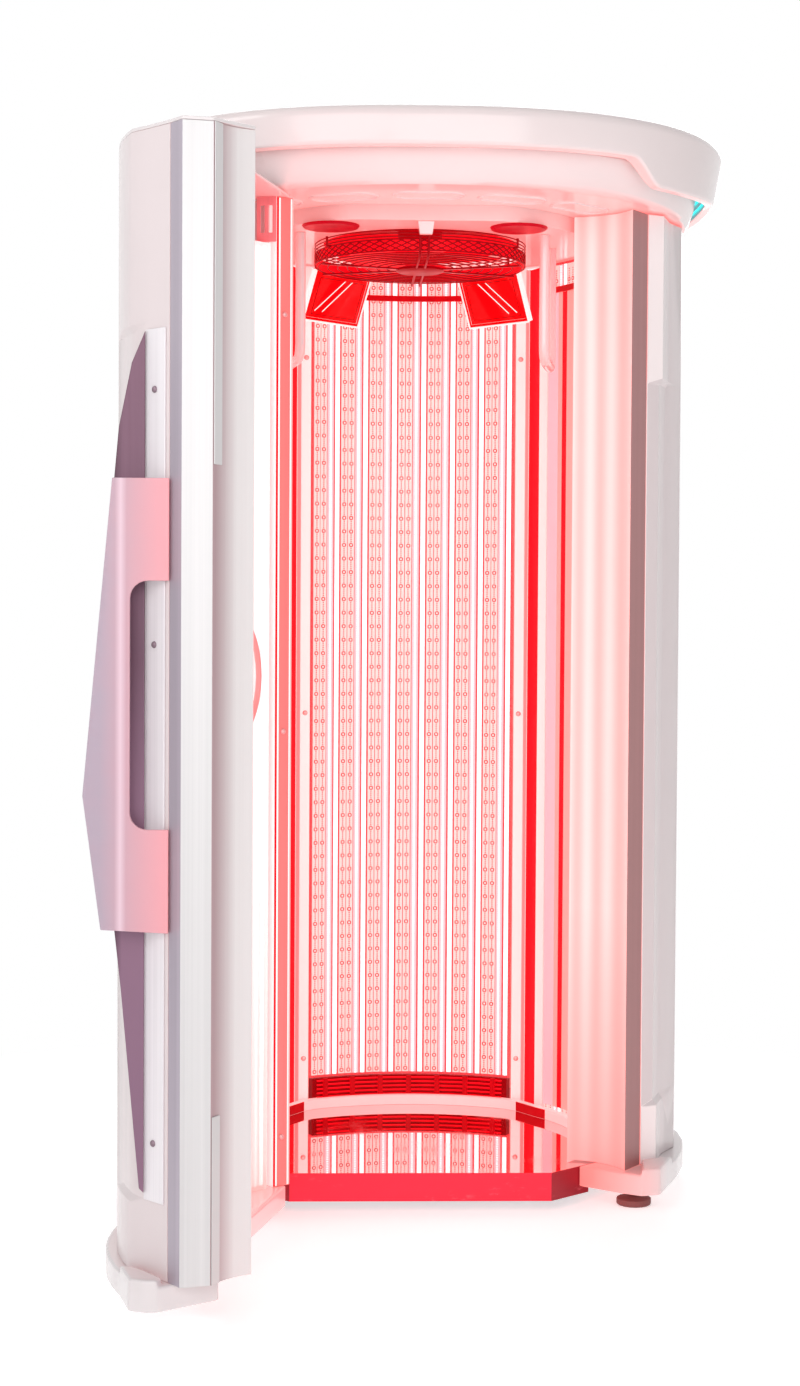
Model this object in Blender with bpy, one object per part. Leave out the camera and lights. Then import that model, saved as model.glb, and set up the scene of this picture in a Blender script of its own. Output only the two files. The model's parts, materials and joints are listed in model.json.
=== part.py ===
"""Stand-up light therapy booth: a round cabin with a canopy, a hinged door and a ceiling fan.

Metres, +Z up. The cabin is drawn with X across, Y towards the back and Y = 0 on the door's hinge
line. The door is drawn closed and then turned open on its pivot empty. At the end the whole booth
is moved so that the origin is the bottom centre of its box.
"""
import bpy
import bmesh
from math import atan2, cos, degrees, pi, radians, sin, sqrt
from mathutils import Vector

# General clearances
FIT = 0.0003            # gap between pieces that touch
DOOR_GAP = 0.0035       # gap between the door's top and the canopy
CUT_PAST = 0.010        # how far a cutter runs past the face it opens

# Heights
PLINTH_BOTTOM = 0.038
FLOOR_TOP = 0.082       # top of the plinths and of the door's foot
NOSE_TOP = 0.094        # top of the raised blocks at their front
DOOR_SWEEP = 0.0025     # how far the floor inside lies below the closing door
SHELL_TOP = 2.066
CEILING_DROP = 0.028    # ceiling below the shells' top
CEILING_THICK = 0.062
PANEL_DROP = 0.100      # top of the door's inner panel below the shells' top
CANOPY_RISE = 0.139     # top of the canopy above the shells' top
RIM_FRONT = 0.075       # height of the rim at the front
RIM_DROP = 0.050        # how far the rim hangs lower behind its steps
PLATFORM_TOP = FLOOR_TOP - DOOR_SWEEP
CEILING_Z = SHELL_TOP - CEILING_DROP
CEILING_TOP = CEILING_Z + CEILING_THICK
ACRYLIC_TOP = SHELL_TOP - PANEL_DROP
CANOPY_TOP = SHELL_TOP + CANOPY_RISE
RIM_FRONT_BOTTOM = CANOPY_TOP - RIM_FRONT
RECESS_BOTTOM = 0.215
RECESS_TOP = 1.717

# Outer shells
SHELL_Y = 0.43          # centre of the shells' circle
SHELL_R = 0.572
SHELL_WALL = 0.004
SHELL_JOINT = 62.0      # half-way joints of the rear shell, degrees from +X
RECESS_DEPTH = 0.007
RECESS_SLOPE = 0.012
SHELL_SEAM = 0.03       # half gap at the shells' joints, degrees
SHELL_FACETS = ((0.464, 0.1405), (0.499, 0.159), (0.522, 0.238))
SHELL_ARC_START = -13.0
LEFT_SHELL_END = 227.0

# Floor and plinths
PLATFORM_Y = 0.41
PLATFORM_R = 0.441
PLATFORM_FRONT = 0.0795
PLATFORM_HALF = 0.271   # half width of the straight front edge
PLATFORM_CORNER_ANGLE = -33.0
KICK_SHARE = 0.85       # how far the kick plate runs along the slanted edges
BASE_PLATE = 0.012
KICK_SHEET = 0.003
KICK_BOTTOM = 0.021
KICK_GAP = 0.0012       # room between the kick plate and the plinth in front of it
PLINTH_PROUD = 0.020
PLINTH_END_SHARE = 0.61  # the plinth's front end along the kick plate's slanted side
PLINTH_BLOCK = ((0.4125, 0.0685), (0.454, 0.043), (0.494, 0.052), (0.521, 0.126), (0.552, 0.207))
PLINTH_NOSE = (
    (0.4545, 0.0440), (0.4937, 0.0528), (0.5200, 0.1260), (0.5340, 0.1640),
    (0.5075, 0.1700), (0.5025, 0.1560), (0.4670, 0.1375),
)
PLINTH_ARC_START = -12.0
LEFT_PLINTH_END = 222.5
LEFT_PLINTH_BLOCK = ((-0.400, 0.050), (-0.388, 0.100))
PLINTH_SEAM = 0.05      # half gap between the plinths at the back, degrees
PLINTH_SETBACK = 1.0    # degrees from the platform's corner to the plinth
FOOT_R = 0.0365
FOOT_PAD = 0.014
FOOT_EDGE = 0.003       # rounded lower edge of the pad
FOOT_DOME = 0.005       # height of the pad's sloping top
FOOT_STEM_R = 0.008
FRONT_FOOT = (0.450, 0.135)
REAR_FOOT = (0.300, 0.835)

# Canopy
CANOPY_FORWARD = 0.020  # canopy's centre in front of the shells' centre
SIDE_OVERHANG = 0.073   # canopy past the shells at the sides
FRONT_OVERHANG = 0.078  # and at the front and back
CANOPY_Y = SHELL_Y - CANOPY_FORWARD
CANOPY_HALF_WIDTH = SHELL_R + SIDE_OVERHANG
CANOPY_HALF_DEPTH = SHELL_R + FRONT_OVERHANG
CANOPY_POWER = 2.4      # superellipse exponent of the canopy's plan
CANOPY_STEPS = 72
RIM_STEP_START = 0.400  # the rim drops between these half widths
RIM_STEP_END = 0.474
RIM_RISE = 0.60         # share of the drop that the lip rises again
RIM_RISE_LENGTH = 0.47  # from where it starts to rise to the canopy's middle
RIM_WALL = 0.030
RIM_LIP = 0.014         # inset of the rim's lower lip
RIM_FLARE = 0.010       # how much further in the lip lies where the rim hangs lower
RIM_ROUND = 0.008       # rounding of the lower lip
RIM_BEAD = 0.008        # how far the lip's inner edge stands inside the wall
RIM_BEAD_RISE = 0.010   # height of that edge
RIM_CROWN = ((0.0, 0.022), (0.005, 0.006), (0.016, 0.0))  # inset and depth below the top
BODY_STEP = 0.023       # how far the body lies inside the rim
BODY_HEIGHT = 0.0905
BODY_TOP = SHELL_TOP + DOOR_GAP + BODY_HEIGHT
BODY_FLANGE = 0.010
BODY_PROUD = 0.005      # how far the body's underside stands outside the shells
BODY_CURVE = ((0.0, 0.0), (0.30, 0.007), (0.72, 0.028), (1.0, 0.062))  # share outwards and rise
ROOF_SHEET = 0.010
ROOF_DROP = 0.004       # step from the rim's top down to the roof
ACCENT_WIDTH = 0.008
ACCENT_HEIGHT = 0.010
ACCENT_DROP = 0.002     # light line below the rim's front edge
ROOF_HOLE_R = 0.240
ROOF_WIRE = 0.006
ROOF_HOOPS = (1.0, 0.68, 0.38, 0.12)
ROOF_SPOKES = 20

# Light walls
CABIN_Y = 0.40
CABIN_R = 0.383
ACRYLIC = 0.004
BOARD_GAP = 0.005
BOARD = 0.012
WALL_BOTTOM = 0.147
BACK_R = 0.510
BACK_FRONT_Y = 0.784
BACK_HALF = 0.234
BACK_MARGIN = 0.8       # degrees from the cover's edge to the boards
SIDE_START = -28.5
SIDE_END = 38.0
SIDE_MARGIN = 2.5       # degrees from the cover's front edge to the boards
CORNER_POST = (
    (0.2375, 0.7270), (0.2600, 0.7225), (0.2700, 0.7400), (0.2900, 0.6920),
    (0.3070, 0.6740), (0.3250, 0.6900), (0.3000, 0.7550), (0.2520, 0.7750),
)
RAIL_CORNER = ((0.293, 0.650), (0.262, 0.700))
RAIL_HEIGHT = 0.022
RAIL_DEPTH = 0.020

# Door
HINGE = (-0.341, 0.0)
OPEN_ANGLE = 104.0
HINGE_PIN_R = 0.008
DOOR_TOP_SHEET = 0.006
CHORD_Y = 0.070         # straight inner edge of the door's top and foot
DOOR_START_X = -0.362
DOOR_RETURN = (-0.358, 0.010)
DOOR_ARC_END_X = 0.330
DOOR_RECESS_SPREAD = 12.0  # degrees of the sunk stretch beside the edge profile
DOOR_RECESS_SLOPE = 3.6    # degrees of its sloping start
DOOR_EDGE_SHARE = 0.98     # how far the shell covers the profile's chamfer
CAP_CORNER = (-0.354, 0.045)
CAP_CHORD_START = -0.324
EDGE_CHAMFER = (0.392, 0.052)
EDGE_TIP = (0.4185, 0.0815)
EDGE_FLAT = (0.394, 0.130)
EDGE_INNER = (0.309, 0.178)
EDGE_CREASE = (0.351, -0.005)
EDGE_SAG = 0.008
EDGE_STEPS = 8
EDGE_BACK = ((0.294, 0.160), (0.352, 0.120), (0.384, 0.066))
STILE_INNER = (-0.300, 0.050)
STILE_BACK = (-0.330, 0.076)
STILE_REAR = ((-0.344, 0.060), (-0.346, 0.030), (-0.318, 0.030))
DOOR_PANEL_START = (-0.292, 0.040)
DOOR_PANEL_END = (0.287, 0.158)
DOOR_PANEL_SAG = 0.120
TOP_CHORD_END = 0.250
COVER_UPPER_BOTTOM = 1.483
COVER_LOWER_TOP = 0.372
COVER_SHEET = 0.0022
COVER_STEPS = 2         # of the channel's steps, counted from its flat
PULL_RING_R = 0.125
PULL_RING_TUBE = 0.006
PULL_RING_Z = 1.110
PULL_RING_STEP = 4      # place of the ring along the panel's steps
PULL_RING_SEAT = 0.3    # where the ring's tube touches the panel, of the tube's radius
PULL_RING_STEPS = 32
PULL_RING_SIDES = 6
PANEL_STEPS = 16
DOOR_FOOT_END = ((0.426, -0.0075), (0.431, 0.021), (0.4255, 0.044), (0.330, 0.1255))
DOOR_NOSE = (
    (0.3470, -0.0495), (0.4245, -0.0070), (0.4300, 0.0210), (0.4247, 0.0432),
    (0.4020, 0.0450), (0.3580, -0.0050), (0.3420, -0.0310),
)
BRACKET_WIDTH = 0.040
BRACKET_SHEET = 0.003
BRACKET_LIFT = 0.004    # bracket's foot above the inner panel
BRACKET_SLOT = 0.008
BRACKET_SLOT_END = 0.018  # from the bracket's ends to its slots
BRACKET_SLOT_SHARES = (0.3, 0.7)
HINGE_PLATE = 0.012
HINGE_EYE_R = 0.020
HINGE_ARM_END = (-0.412, 0.085)
PIN_COVER = 0.020       # foot left above the lower pin
PIN_CLEAR = 0.001       # room above the lower pin

# Fixed door jamb
JAMB_TIP = (0.4235, 0.082)
JAMB_INNER = (0.3135, 0.1825)
JAMB_OUTER = (0.4625, 0.1395)
JAMB_SAG = 0.024
JAMB_BACK = ((0.330, 0.205), (0.352, 0.218), (0.440, 0.152))
HINGE_POST = (
    (-0.384, 0.012), (-0.384, 0.052), (-0.348, 0.082), (-0.320, 0.112), (-0.3135, 0.1825),
    (-0.330, 0.205), (-0.352, 0.218), (-0.412, 0.165), (-0.400, 0.100), (-0.385, 0.026),
)

# Outer grip of the door
HANDLE_THICK = 0.010
HANDLE_BOTTOM = 0.685
HANDLE_TOP = 1.460
SLOT_BOTTOM = 0.862
SLOT_TOP = 1.286
HANDLE_ANGLE = 284.0    # plan direction of the grip plate on the closed door
HANDLE_ARM = 0.0965     # reach of the grip at its top
HANDLE_FOOT = 0.115     # reach of the grip at its bottom
HANDLE_REACH = 0.146    # reach of the grip at its widest
HANDLE_WIDEST_Z = 0.920
HANDLE_FOOT_RISE = 0.006  # how much higher the grip's lower corner is than its foot
SLOT_DEPTH = 0.066
SLOT_RADIUS = 0.030
STRIP_START = 0.010
STRIP_WIDTH = 0.056
STRIP_SHEET = 0.003
FIN_SHEET = 0.005
FIN_DEPTH = 0.0475
FIN_OUTLINE = (
    (0.045, 0.227), (0.053, 0.235), (0.085, 0.583), (0.098, 0.700), (0.100, 1.200),
    (0.098, 1.460), (0.090, 1.550), (0.068, 1.660), (0.045, 1.715),
)

# Ceiling
FAN_Y = 0.40
CEILING_Y = 0.41
CEILING_R = 0.370
CEILING_FRONT = 0.078
STOP_Y = 0.095
STOP_WIDTH = 0.034
STOP_DEPTH = 0.022
STOP_TAPER = 0.008
STOP_HEIGHT = 0.026
STOP_BOTTOM = CEILING_Z - STOP_HEIGHT
FAN_HOLE_R = 0.210
GUARD_R = 0.230
GUARD_DEPTH = 0.052
GUARD_BOTTOM = CEILING_Z - GUARD_DEPTH
GUARD_WIRE = 0.004
GUARD_RIBS = 16
GUARD_HOOP_DROP = 0.017  # second hoop below the ceiling
GUARD_MIDDLE = CEILING_Z - GUARD_HOOP_DROP
GUARD_BEND = 0.020
GUARD_HOOPS = (0.90, 0.55, 0.20)
ROTOR_R = 0.185
ROTOR_DROP = 0.030      # middle of the rotor below the ceiling
ROTOR_Z = CEILING_Z - ROTOR_DROP
BLADES = 5
BLADE_SHEET = 0.004
BLADE_SPREAD = 48.0
BLADE_RISE = 0.020
BLADE_ROOT_SHARE = 0.55  # spread of a blade at the hub, of its spread at the tip
HUB_R = 0.040
HUB_HALF = 0.016
HUB_BEVEL = 0.008
MOTOR_HEIGHT = 0.045
MOUNT_WIDTH = 0.040
MOUNT_SHEET = 0.004
MOTOR_R = 0.048
SPEAKER_R = 0.060
SPEAKER_DEPTH = 0.006
SPEAKER_EDGE = 0.004    # bevel of the cover's edge
SPEAKER_X = 0.195
SPEAKER_Y = 0.150
GRIP_TUBE_R = 0.011
GRIP_BEND = 0.035
GRIP_LENGTH = 0.263
GRIP_BOTTOM = CEILING_Z - GRIP_LENGTH
GRIP_FRONT = (0.258, 0.245)
GRIP_REAR = (0.290, 0.430)
FACE_WIDTH = 0.169
FACE_HEIGHT = 0.099
FACE_SHEET = 0.012
FACE_FRAME = 0.008
FACE_LIP = 0.002
FACE_TURN = 47.5
FACE_TILT = 21.0
FACE_DROP = 0.078       # middle of the lamp below the ceiling
FACE_CENTRE = (0.188, 0.665, CEILING_Z - FACE_DROP)
ROD_R = 0.006

# Electrics behind the back wall
SUPPLY_Y = 0.890
SUPPLY_WIDTH = 0.160
SUPPLY_DEPTH = 0.090
SUPPLY_HEIGHT = 0.420
CONTROL_WIDTH = 0.144
CONTROL_DEPTH = 0.081
CONTROL_HEIGHT = 0.120
INLET_WIDTH = 0.060
INLET_DEPTH = 0.018
INLET_HEIGHT = 0.050
INLET_Z = 0.150

WHITE = ("white_gloss", (0.86, 0.86, 0.87), 0.18, 0.0)
ALUMINIUM = ("satin_aluminium", (0.72, 0.72, 0.74), 0.35, 0.9)
STEEL = ("brushed_steel", (0.62, 0.62, 0.64), 0.3, 1.0)
MIRROR = ("polished_floor", (0.75, 0.62, 0.62), 0.08, 1.0)
CRIMSON = ("crimson_sheet", (0.62, 0.03, 0.08), 0.35, 0.4)
RUBBER = ("dark_rubber", (0.06, 0.05, 0.05), 0.8, 0.0)
LED_BOARD = ("led_board", (0.95, 0.55, 0.52), 0.5, 0.0)
CLEAR = ("clear_acrylic", (0.98, 0.85, 0.85), 0.05, 0.0)
ROSE = ("rose_acrylic", (0.86, 0.60, 0.64), 0.45, 0.0)
MAUVE = ("mauve_fin", (0.42, 0.38, 0.46), 0.4, 0.3)
TURQUOISE = ("turquoise_light", (0.15, 0.85, 0.82), 0.4, 0.0)
DARK_RED = ("dark_red", (0.35, 0.01, 0.02), 0.4, 0.1)
BLACK = ("black_plastic", (0.04, 0.04, 0.045), 0.5, 0.0)


# Scene and mesh helpers

def clear_scene():
    for obj in list(bpy.data.objects):
        bpy.data.objects.remove(obj, do_unlink=True)


def material(spec):
    """A Principled material from (name, colour, roughness, metallic)."""
    name, colour, roughness, metallic = spec
    found = bpy.data.materials.get(name)
    if found:
        return found
    made = bpy.data.materials.new(name)
    made.use_nodes = True
    shader = made.node_tree.nodes["Principled BSDF"]
    shader.inputs["Base Color"].default_value = (*colour, 1.0)
    shader.inputs["Roughness"].default_value = roughness
    shader.inputs["Metallic"].default_value = metallic
    made.diffuse_color = (*colour, 1.0)
    return made


def empty(name, location=(0.0, 0.0, 0.0), parent=None):
    made = bpy.data.objects.new(name, None)
    made.location = location
    made.parent = parent
    bpy.context.scene.collection.objects.link(made)
    return made


def add_object(name, bm, spec, parent):
    """Turn a bmesh in booth coordinates into an object whose origin is its parent's."""
    bmesh.ops.translate(bm, verts=bm.verts, vec=-parent.location)
    bmesh.ops.recalc_face_normals(bm, faces=bm.faces)
    mesh = bpy.data.meshes.new(name)
    bm.to_mesh(mesh)
    bm.free()
    mesh.materials.append(material(spec))
    mesh.shade_smooth()
    mesh.set_sharp_from_angle(angle=radians(30))
    made = bpy.data.objects.new(name, mesh)
    made.parent = parent
    bpy.context.scene.collection.objects.link(made)
    return made


def add_loft(bm, rows):
    """Closed solid through rows of equally many points, with a cap at each end."""
    loops = [[bm.verts.new(point) for point in row] for row in rows]
    count = len(loops[0])
    for lower, upper in zip(loops, loops[1:]):
        for i in range(count):
            j = (i + 1) % count
            bm.faces.new((lower[i], lower[j], upper[j], upper[i]))
    bm.faces.new(loops[0][::-1])
    bm.faces.new(loops[-1])


def add_ring(bm, rows):
    """Closed ring: the rows are the corners of its section, each a loop around the ring."""
    loops = [[bm.verts.new(point) for point in row] for row in rows]
    count = len(loops[0])
    for lower, upper in zip(loops, loops[1:] + loops[:1]):
        for i in range(count):
            j = (i + 1) % count
            bm.faces.new((lower[i], lower[j], upper[j], upper[i]))


def at_height(outline, z):
    return [(x, y, z) for x, y in outline]


def add_prism(bm, outline, bottom, top):
    add_loft(bm, [at_height(outline, bottom), at_height(outline, top)])


def prism(name, outline, bottom, top, spec, parent):
    bm = bmesh.new()
    add_prism(bm, outline, bottom, top)
    return add_object(name, bm, spec, parent)


def loft(name, rows, spec, parent):
    bm = bmesh.new()
    add_loft(bm, rows)
    return add_object(name, bm, spec, parent)


def ring(name, rows, spec, parent):
    bm = bmesh.new()
    add_ring(bm, rows)
    return add_object(name, bm, spec, parent)


def box_outline(centre, width, depth):
    x, y = centre
    half_w = width / 2
    half_d = depth / 2
    front = [(x - half_w, y - half_d), (x + half_w, y - half_d)]
    return front + [(x + half_w, y + half_d), (x - half_w, y + half_d)]


def combine(target, helper, operation):
    """Join a helper's shape to a piece, or cut it out."""
    helper.hide_render = True
    helper.display_type = "WIRE"
    modifier = target.modifiers.new(helper.name, "BOOLEAN")
    modifier.operation = operation
    modifier.object = helper


def cut(target, helper):
    combine(target, helper, "DIFFERENCE")


def join(target, helper):
    combine(target, helper, "UNION")


def wire_basket(name, centre, profile, spokes, wire, spec, parent):
    """Wire grille: hoops at each (radius, height) of the profile and spokes between them."""
    bm = bmesh.new()
    loops = [[bm.verts.new(point) for point in at_height(circle(centre, r, spokes), z)] for r, z in profile]
    for lower, upper in zip(loops, loops[1:]):
        for i in range(spokes):
            j = (i + 1) % spokes
            bm.faces.new((lower[i], lower[j], upper[j], upper[i]))
    made = add_object(name, bm, spec, parent)
    modifier = made.modifiers.new("wires", "WIREFRAME")
    modifier.thickness = wire
    modifier.use_boundary = True
    modifier.use_even_offset = True
    return made


# Plan outline helpers

def on_circle(centre, radius, angle):
    turn = radians(angle)
    return (centre[0] + radius * cos(turn), centre[1] + radius * sin(turn))


def arc(centre, radius, start, end, steps):
    return [on_circle(centre, radius, start + (end - start) * i / steps) for i in range(steps + 1)]


def clear_radius(radius, sweep, steps):
    """Radius of an arc whose straight steps stay outside the given radius."""
    return radius / cos(radians(abs(sweep) / steps / 2))


def circle(centre, radius, steps):
    return arc(centre, radius, 0.0, 360.0, steps)[:-1]


def arc_between(start, end, sag, steps):
    """Arc from start to end that bulges by sag to the left of its chord, or to the right if negative."""
    along = Vector(end) - Vector(start)
    half = along.length / 2
    along.normalize()
    side = Vector((-along.y, along.x)) * (1 if sag > 0 else -1)
    depth = abs(sag)
    radius = (half * half + depth * depth) / (2 * depth)
    half_angle = atan2(half, radius - depth)
    middle = (Vector(start) + Vector(end)) / 2
    points = []
    for i in range(steps + 1):
        angle = half_angle * (2 * i / steps - 1)
        point = middle + along * (radius * sin(angle)) + side * (radius * cos(angle) - radius + depth)
        points.append((point.x, point.y))
    return points


def offset_path(points, distance):
    """Open path moved sideways: to its left if distance is positive."""
    moved = []
    for i, point in enumerate(points):
        before = Vector(points[max(i - 1, 0)])
        after = Vector(points[min(i + 1, len(points) - 1)])
        here = Vector(point)
        first = (here - before).normalized() if i > 0 else (after - here).normalized()
        second = (after - here).normalized() if i < len(points) - 1 else first
        normal = Vector((-first.y - second.y, first.x + second.x)).normalized()
        reach = distance / max(normal.dot(Vector((-first.y, first.x))), 0.3)
        moved.append((here.x + normal.x * reach, here.y + normal.y * reach))
    return moved


def wall(points, thickness):
    """Closed outline of a wall along a path, with its thickness on the path's left."""
    return points + offset_path(points, thickness)[::-1]


def mirrored(outline):
    return [(-x, y) for x, y in outline][::-1]


def superellipse(inset, steps):
    """The canopy's plan, drawn in by inset."""
    half_width = CANOPY_HALF_WIDTH - inset
    half_depth = CANOPY_HALF_DEPTH - inset
    power = 2 / CANOPY_POWER
    points = []
    for i in range(steps):
        turn = 2 * pi * i / steps
        x = half_width * abs(cos(turn)) ** power * (1 if cos(turn) >= 0 else -1)
        y = half_depth * abs(sin(turn)) ** power * (1 if sin(turn) >= 0 else -1)
        points.append((x, CANOPY_Y + y))
    return points


# Tube helpers

def rounded_path(points, radius, steps):
    """Path through points with its corners rounded."""
    path = [Vector(points[0])]
    for before, corner, after in zip(points, points[1:], points[2:]):
        corner = Vector(corner)
        start = corner + (Vector(before) - corner).normalized() * radius
        end = corner + (Vector(after) - corner).normalized() * radius
        for i in range(steps + 1):
            t = i / steps
            path.append(start * (1 - t) ** 2 + corner * 2 * t * (1 - t) + end * t * t)
    path.append(Vector(points[-1]))
    return path


def tube_rows(path, radius, sides):
    """Rows of points around a path, for a loft."""
    rows = []
    across = None
    for i, point in enumerate(path):
        ahead = (path[min(i + 1, len(path) - 1)] - path[max(i - 1, 0)]).normalized()
        if across is None:
            across = ahead.orthogonal().normalized()
        across = (across - ahead * across.dot(ahead)).normalized()
        up = ahead.cross(across)
        turns = [2 * pi * (k + 0.5) / sides for k in range(sides)]
        rows.append([point + across * (radius * cos(t)) + up * (radius * sin(t)) for t in turns])
    return rows


def turned_rows(centre, profile, steps):
    """Rows of a turned solid from a profile of (radius, height) from bottom to top."""
    return [at_height(circle(centre, radius, steps), height) for radius, height in profile]


def turned(name, centre, profile, steps, spec, parent):
    return loft(name, turned_rows(centre, profile, steps), spec, parent)


# Floor and plinths

def platform_outline():
    left_front = (-PLATFORM_HALF, PLATFORM_FRONT)
    right_front = (PLATFORM_HALF, PLATFORM_FRONT)
    back = arc((0, PLATFORM_Y), PLATFORM_R, PLATFORM_CORNER_ANGLE, 180 - PLATFORM_CORNER_ANGLE, 24)
    return [left_front, right_front] + back


def platform_side():
    """Both ends of the platform's slanted right edge in plan."""
    corner = on_circle((0, PLATFORM_Y), PLATFORM_R, PLATFORM_CORNER_ANGLE)
    return Vector((PLATFORM_HALF, PLATFORM_FRONT)), Vector(corner)


def nose_foot():
    """Height inside a plinth at which its raised block starts."""
    return (PLINTH_BOTTOM + FLOOR_TOP) / 2


def make_floor(cabinet):
    outline = platform_outline()
    plate_top = PLINTH_BOTTOM + BASE_PLATE
    prism("base_frame", outline, PLINTH_BOTTOM, plate_top, STEEL, cabinet)
    prism("floor_platform", outline, plate_top + FIT, PLATFORM_TOP, MIRROR, cabinet)
    front, corner = platform_side()
    end = front.lerp(corner, KICK_SHARE)
    path = [(-end.x, end.y), (-front.x, front.y), tuple(front), tuple(end)]
    sheet = wall(offset_path(path, -FIT), -KICK_SHEET)
    prism("front_kick_plate", sheet, KICK_BOTTOM, PLATFORM_TOP, CRIMSON, cabinet)


def make_plinths(cabinet):
    outer = SHELL_R + PLINTH_PROUD
    seam = PLINTH_SEAM
    start = PLATFORM_CORNER_ANGLE + PLINTH_SETBACK
    inner = clear_radius(PLATFORM_R + FIT, 90 - start, 14)
    front, corner = platform_side()
    along = corner - front
    out = Vector((along.y, -along.x)).normalized() * (FIT + KICK_SHEET + KICK_GAP)
    right = [tuple(corner + out), tuple(front + along * PLINTH_END_SHARE + out)]
    right += list(PLINTH_BLOCK)
    right += arc((0, SHELL_Y), outer, PLINTH_ARC_START, 90 - seam, 14)
    right += arc((0, PLATFORM_Y), inner, 90 - seam, start, 14)
    plinth = prism("right_plinth", right, PLINTH_BOTTOM, FLOOR_TOP, WHITE, cabinet)
    join(plinth, prism("plinth_nose", PLINTH_NOSE, nose_foot(), NOSE_TOP, WHITE, cabinet))
    left = arc((0, SHELL_Y), outer, 90 + seam, LEFT_PLINTH_END, 16)
    left += list(LEFT_PLINTH_BLOCK)
    left += arc((0, PLATFORM_Y), inner, 180 - start, 90 + seam, 14)
    prism("left_plinth", left, PLINTH_BOTTOM, FLOOR_TOP, WHITE, cabinet)


def make_levelling_feet(cabinet):
    profile = [
        (FOOT_R - FOOT_EDGE, 0.0),
        (FOOT_R, FOOT_EDGE),
        (FOOT_R, FOOT_PAD),
        (FOOT_STEM_R, FOOT_PAD + FOOT_DOME),
        (FOOT_STEM_R, PLINTH_BOTTOM - FIT),
    ]
    for end, (x, y) in (("front", FRONT_FOOT), ("rear", REAR_FOOT)):
        for side, name in ((-1, "left"), (1, "right")):
            turned("%s_%s_foot" % (name, end), (side * x, y), profile, 16, RUBBER, cabinet)


# Outer shells and door frame

def right_shell_path(depth):
    """Outer edge of the right shell in plan; its front facets are sunk by depth."""
    corner = (SHELL_FACETS[1][0] - depth, SHELL_FACETS[1][1] + depth)
    side = (SHELL_FACETS[2][0] - depth, SHELL_FACETS[2][1])
    path = [SHELL_FACETS[0], corner, side]
    return path + arc((0, SHELL_Y), SHELL_R, SHELL_ARC_START, SHELL_JOINT - SHELL_SEAM, 12)


def recess_rows(outline_at, bottom, top):
    """Rows of a tall shell with a shallow recess between its two crease lines."""
    plain = outline_at(0.0)
    sunk = outline_at(RECESS_DEPTH)
    heights = [
        (bottom, plain),
        (RECESS_BOTTOM - RECESS_SLOPE, plain),
        (RECESS_BOTTOM, sunk),
        (RECESS_TOP, sunk),
        (RECESS_TOP + RECESS_SLOPE, plain),
        (top, plain),
    ]
    return [at_height(outline, z) for z, outline in heights]


def make_shells(cabinet):
    bottom = FLOOR_TOP + FIT
    rows = recess_rows(lambda depth: wall(right_shell_path(depth), SHELL_WALL), bottom, SHELL_TOP)
    loft("right_side_shell", rows, WHITE, cabinet)
    rear = arc((0, SHELL_Y), SHELL_R, SHELL_JOINT + SHELL_SEAM, 180 - SHELL_JOINT - SHELL_SEAM, 12)
    prism("rear_shell", wall(rear, SHELL_WALL), bottom, SHELL_TOP, WHITE, cabinet)
    left = arc((0, SHELL_Y), SHELL_R, 180 - SHELL_JOINT + SHELL_SEAM, LEFT_SHELL_END, 18)
    prism("left_side_shell", wall(left, SHELL_WALL), bottom, SHELL_TOP, WHITE, cabinet)


def make_door_frame(cabinet):
    bottom = FLOOR_TOP + FIT
    face = arc_between(JAMB_TIP, JAMB_INNER, -JAMB_SAG, 10)
    prism("right_jamb_profile", face + list(JAMB_BACK) + [JAMB_OUTER], bottom, SHELL_TOP, ALUMINIUM, cabinet)
    prism("left_hinge_post", list(HINGE_POST), bottom, SHELL_TOP, ALUMINIUM, cabinet)


# Light walls

def sector(centre, radius, thickness, start, end, steps):
    inner = arc(centre, radius, start, end, steps)
    outer = arc(centre, radius + thickness, end, start, steps)
    return inner + outer


def make_back_wall(cabinet):
    centre = (0, BACK_FRONT_Y - BACK_R)
    half = degrees(atan2(BACK_HALF, sqrt(BACK_R ** 2 - BACK_HALF ** 2)))
    board_half = half - BACK_MARGIN
    board_r = BACK_R + ACRYLIC + BOARD_GAP
    depth = ACRYLIC + BOARD_GAP + BOARD
    floor = PLATFORM_TOP + FIT
    grille_top = WALL_BOTTOM - FIT
    top = CEILING_Z - FIT
    cover = sector(centre, BACK_R, ACRYLIC, 90 - half, 90 + half, 16)
    boards = sector(centre, board_r, BOARD, 90 - board_half, 90 + board_half, 16)
    grille = sector(centre, BACK_R, depth, 90 - board_half, 90 + board_half, 16)
    prism("back_acrylic", cover, WALL_BOTTOM, top, CLEAR, cabinet)
    prism("back_led_boards", boards, WALL_BOTTOM, top, LED_BOARD, cabinet)
    prism("air_inlet_grille", grille, floor, grille_top, DARK_RED, cabinet)


def make_side_walls(cabinet):
    centre = (0, CABIN_Y)
    board_r = CABIN_R + ACRYLIC + BOARD_GAP
    floor = PLATFORM_TOP + FIT
    top = CEILING_Z - FIT
    cover = sector(centre, CABIN_R, ACRYLIC, SIDE_START, SIDE_END, 12)
    boards = sector(centre, board_r, BOARD, SIDE_START + SIDE_MARGIN, SIDE_END, 12)
    for side, shape in (("right", list), ("left", mirrored)):
        prism(side + "_acrylic", shape(cover), floor, top, CLEAR, cabinet)
        prism(side + "_led_boards", shape(boards), floor, top, LED_BOARD, cabinet)
        prism(side + "_corner_post", shape(CORNER_POST), FLOOR_TOP + FIT, top, ALUMINIUM, cabinet)


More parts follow.
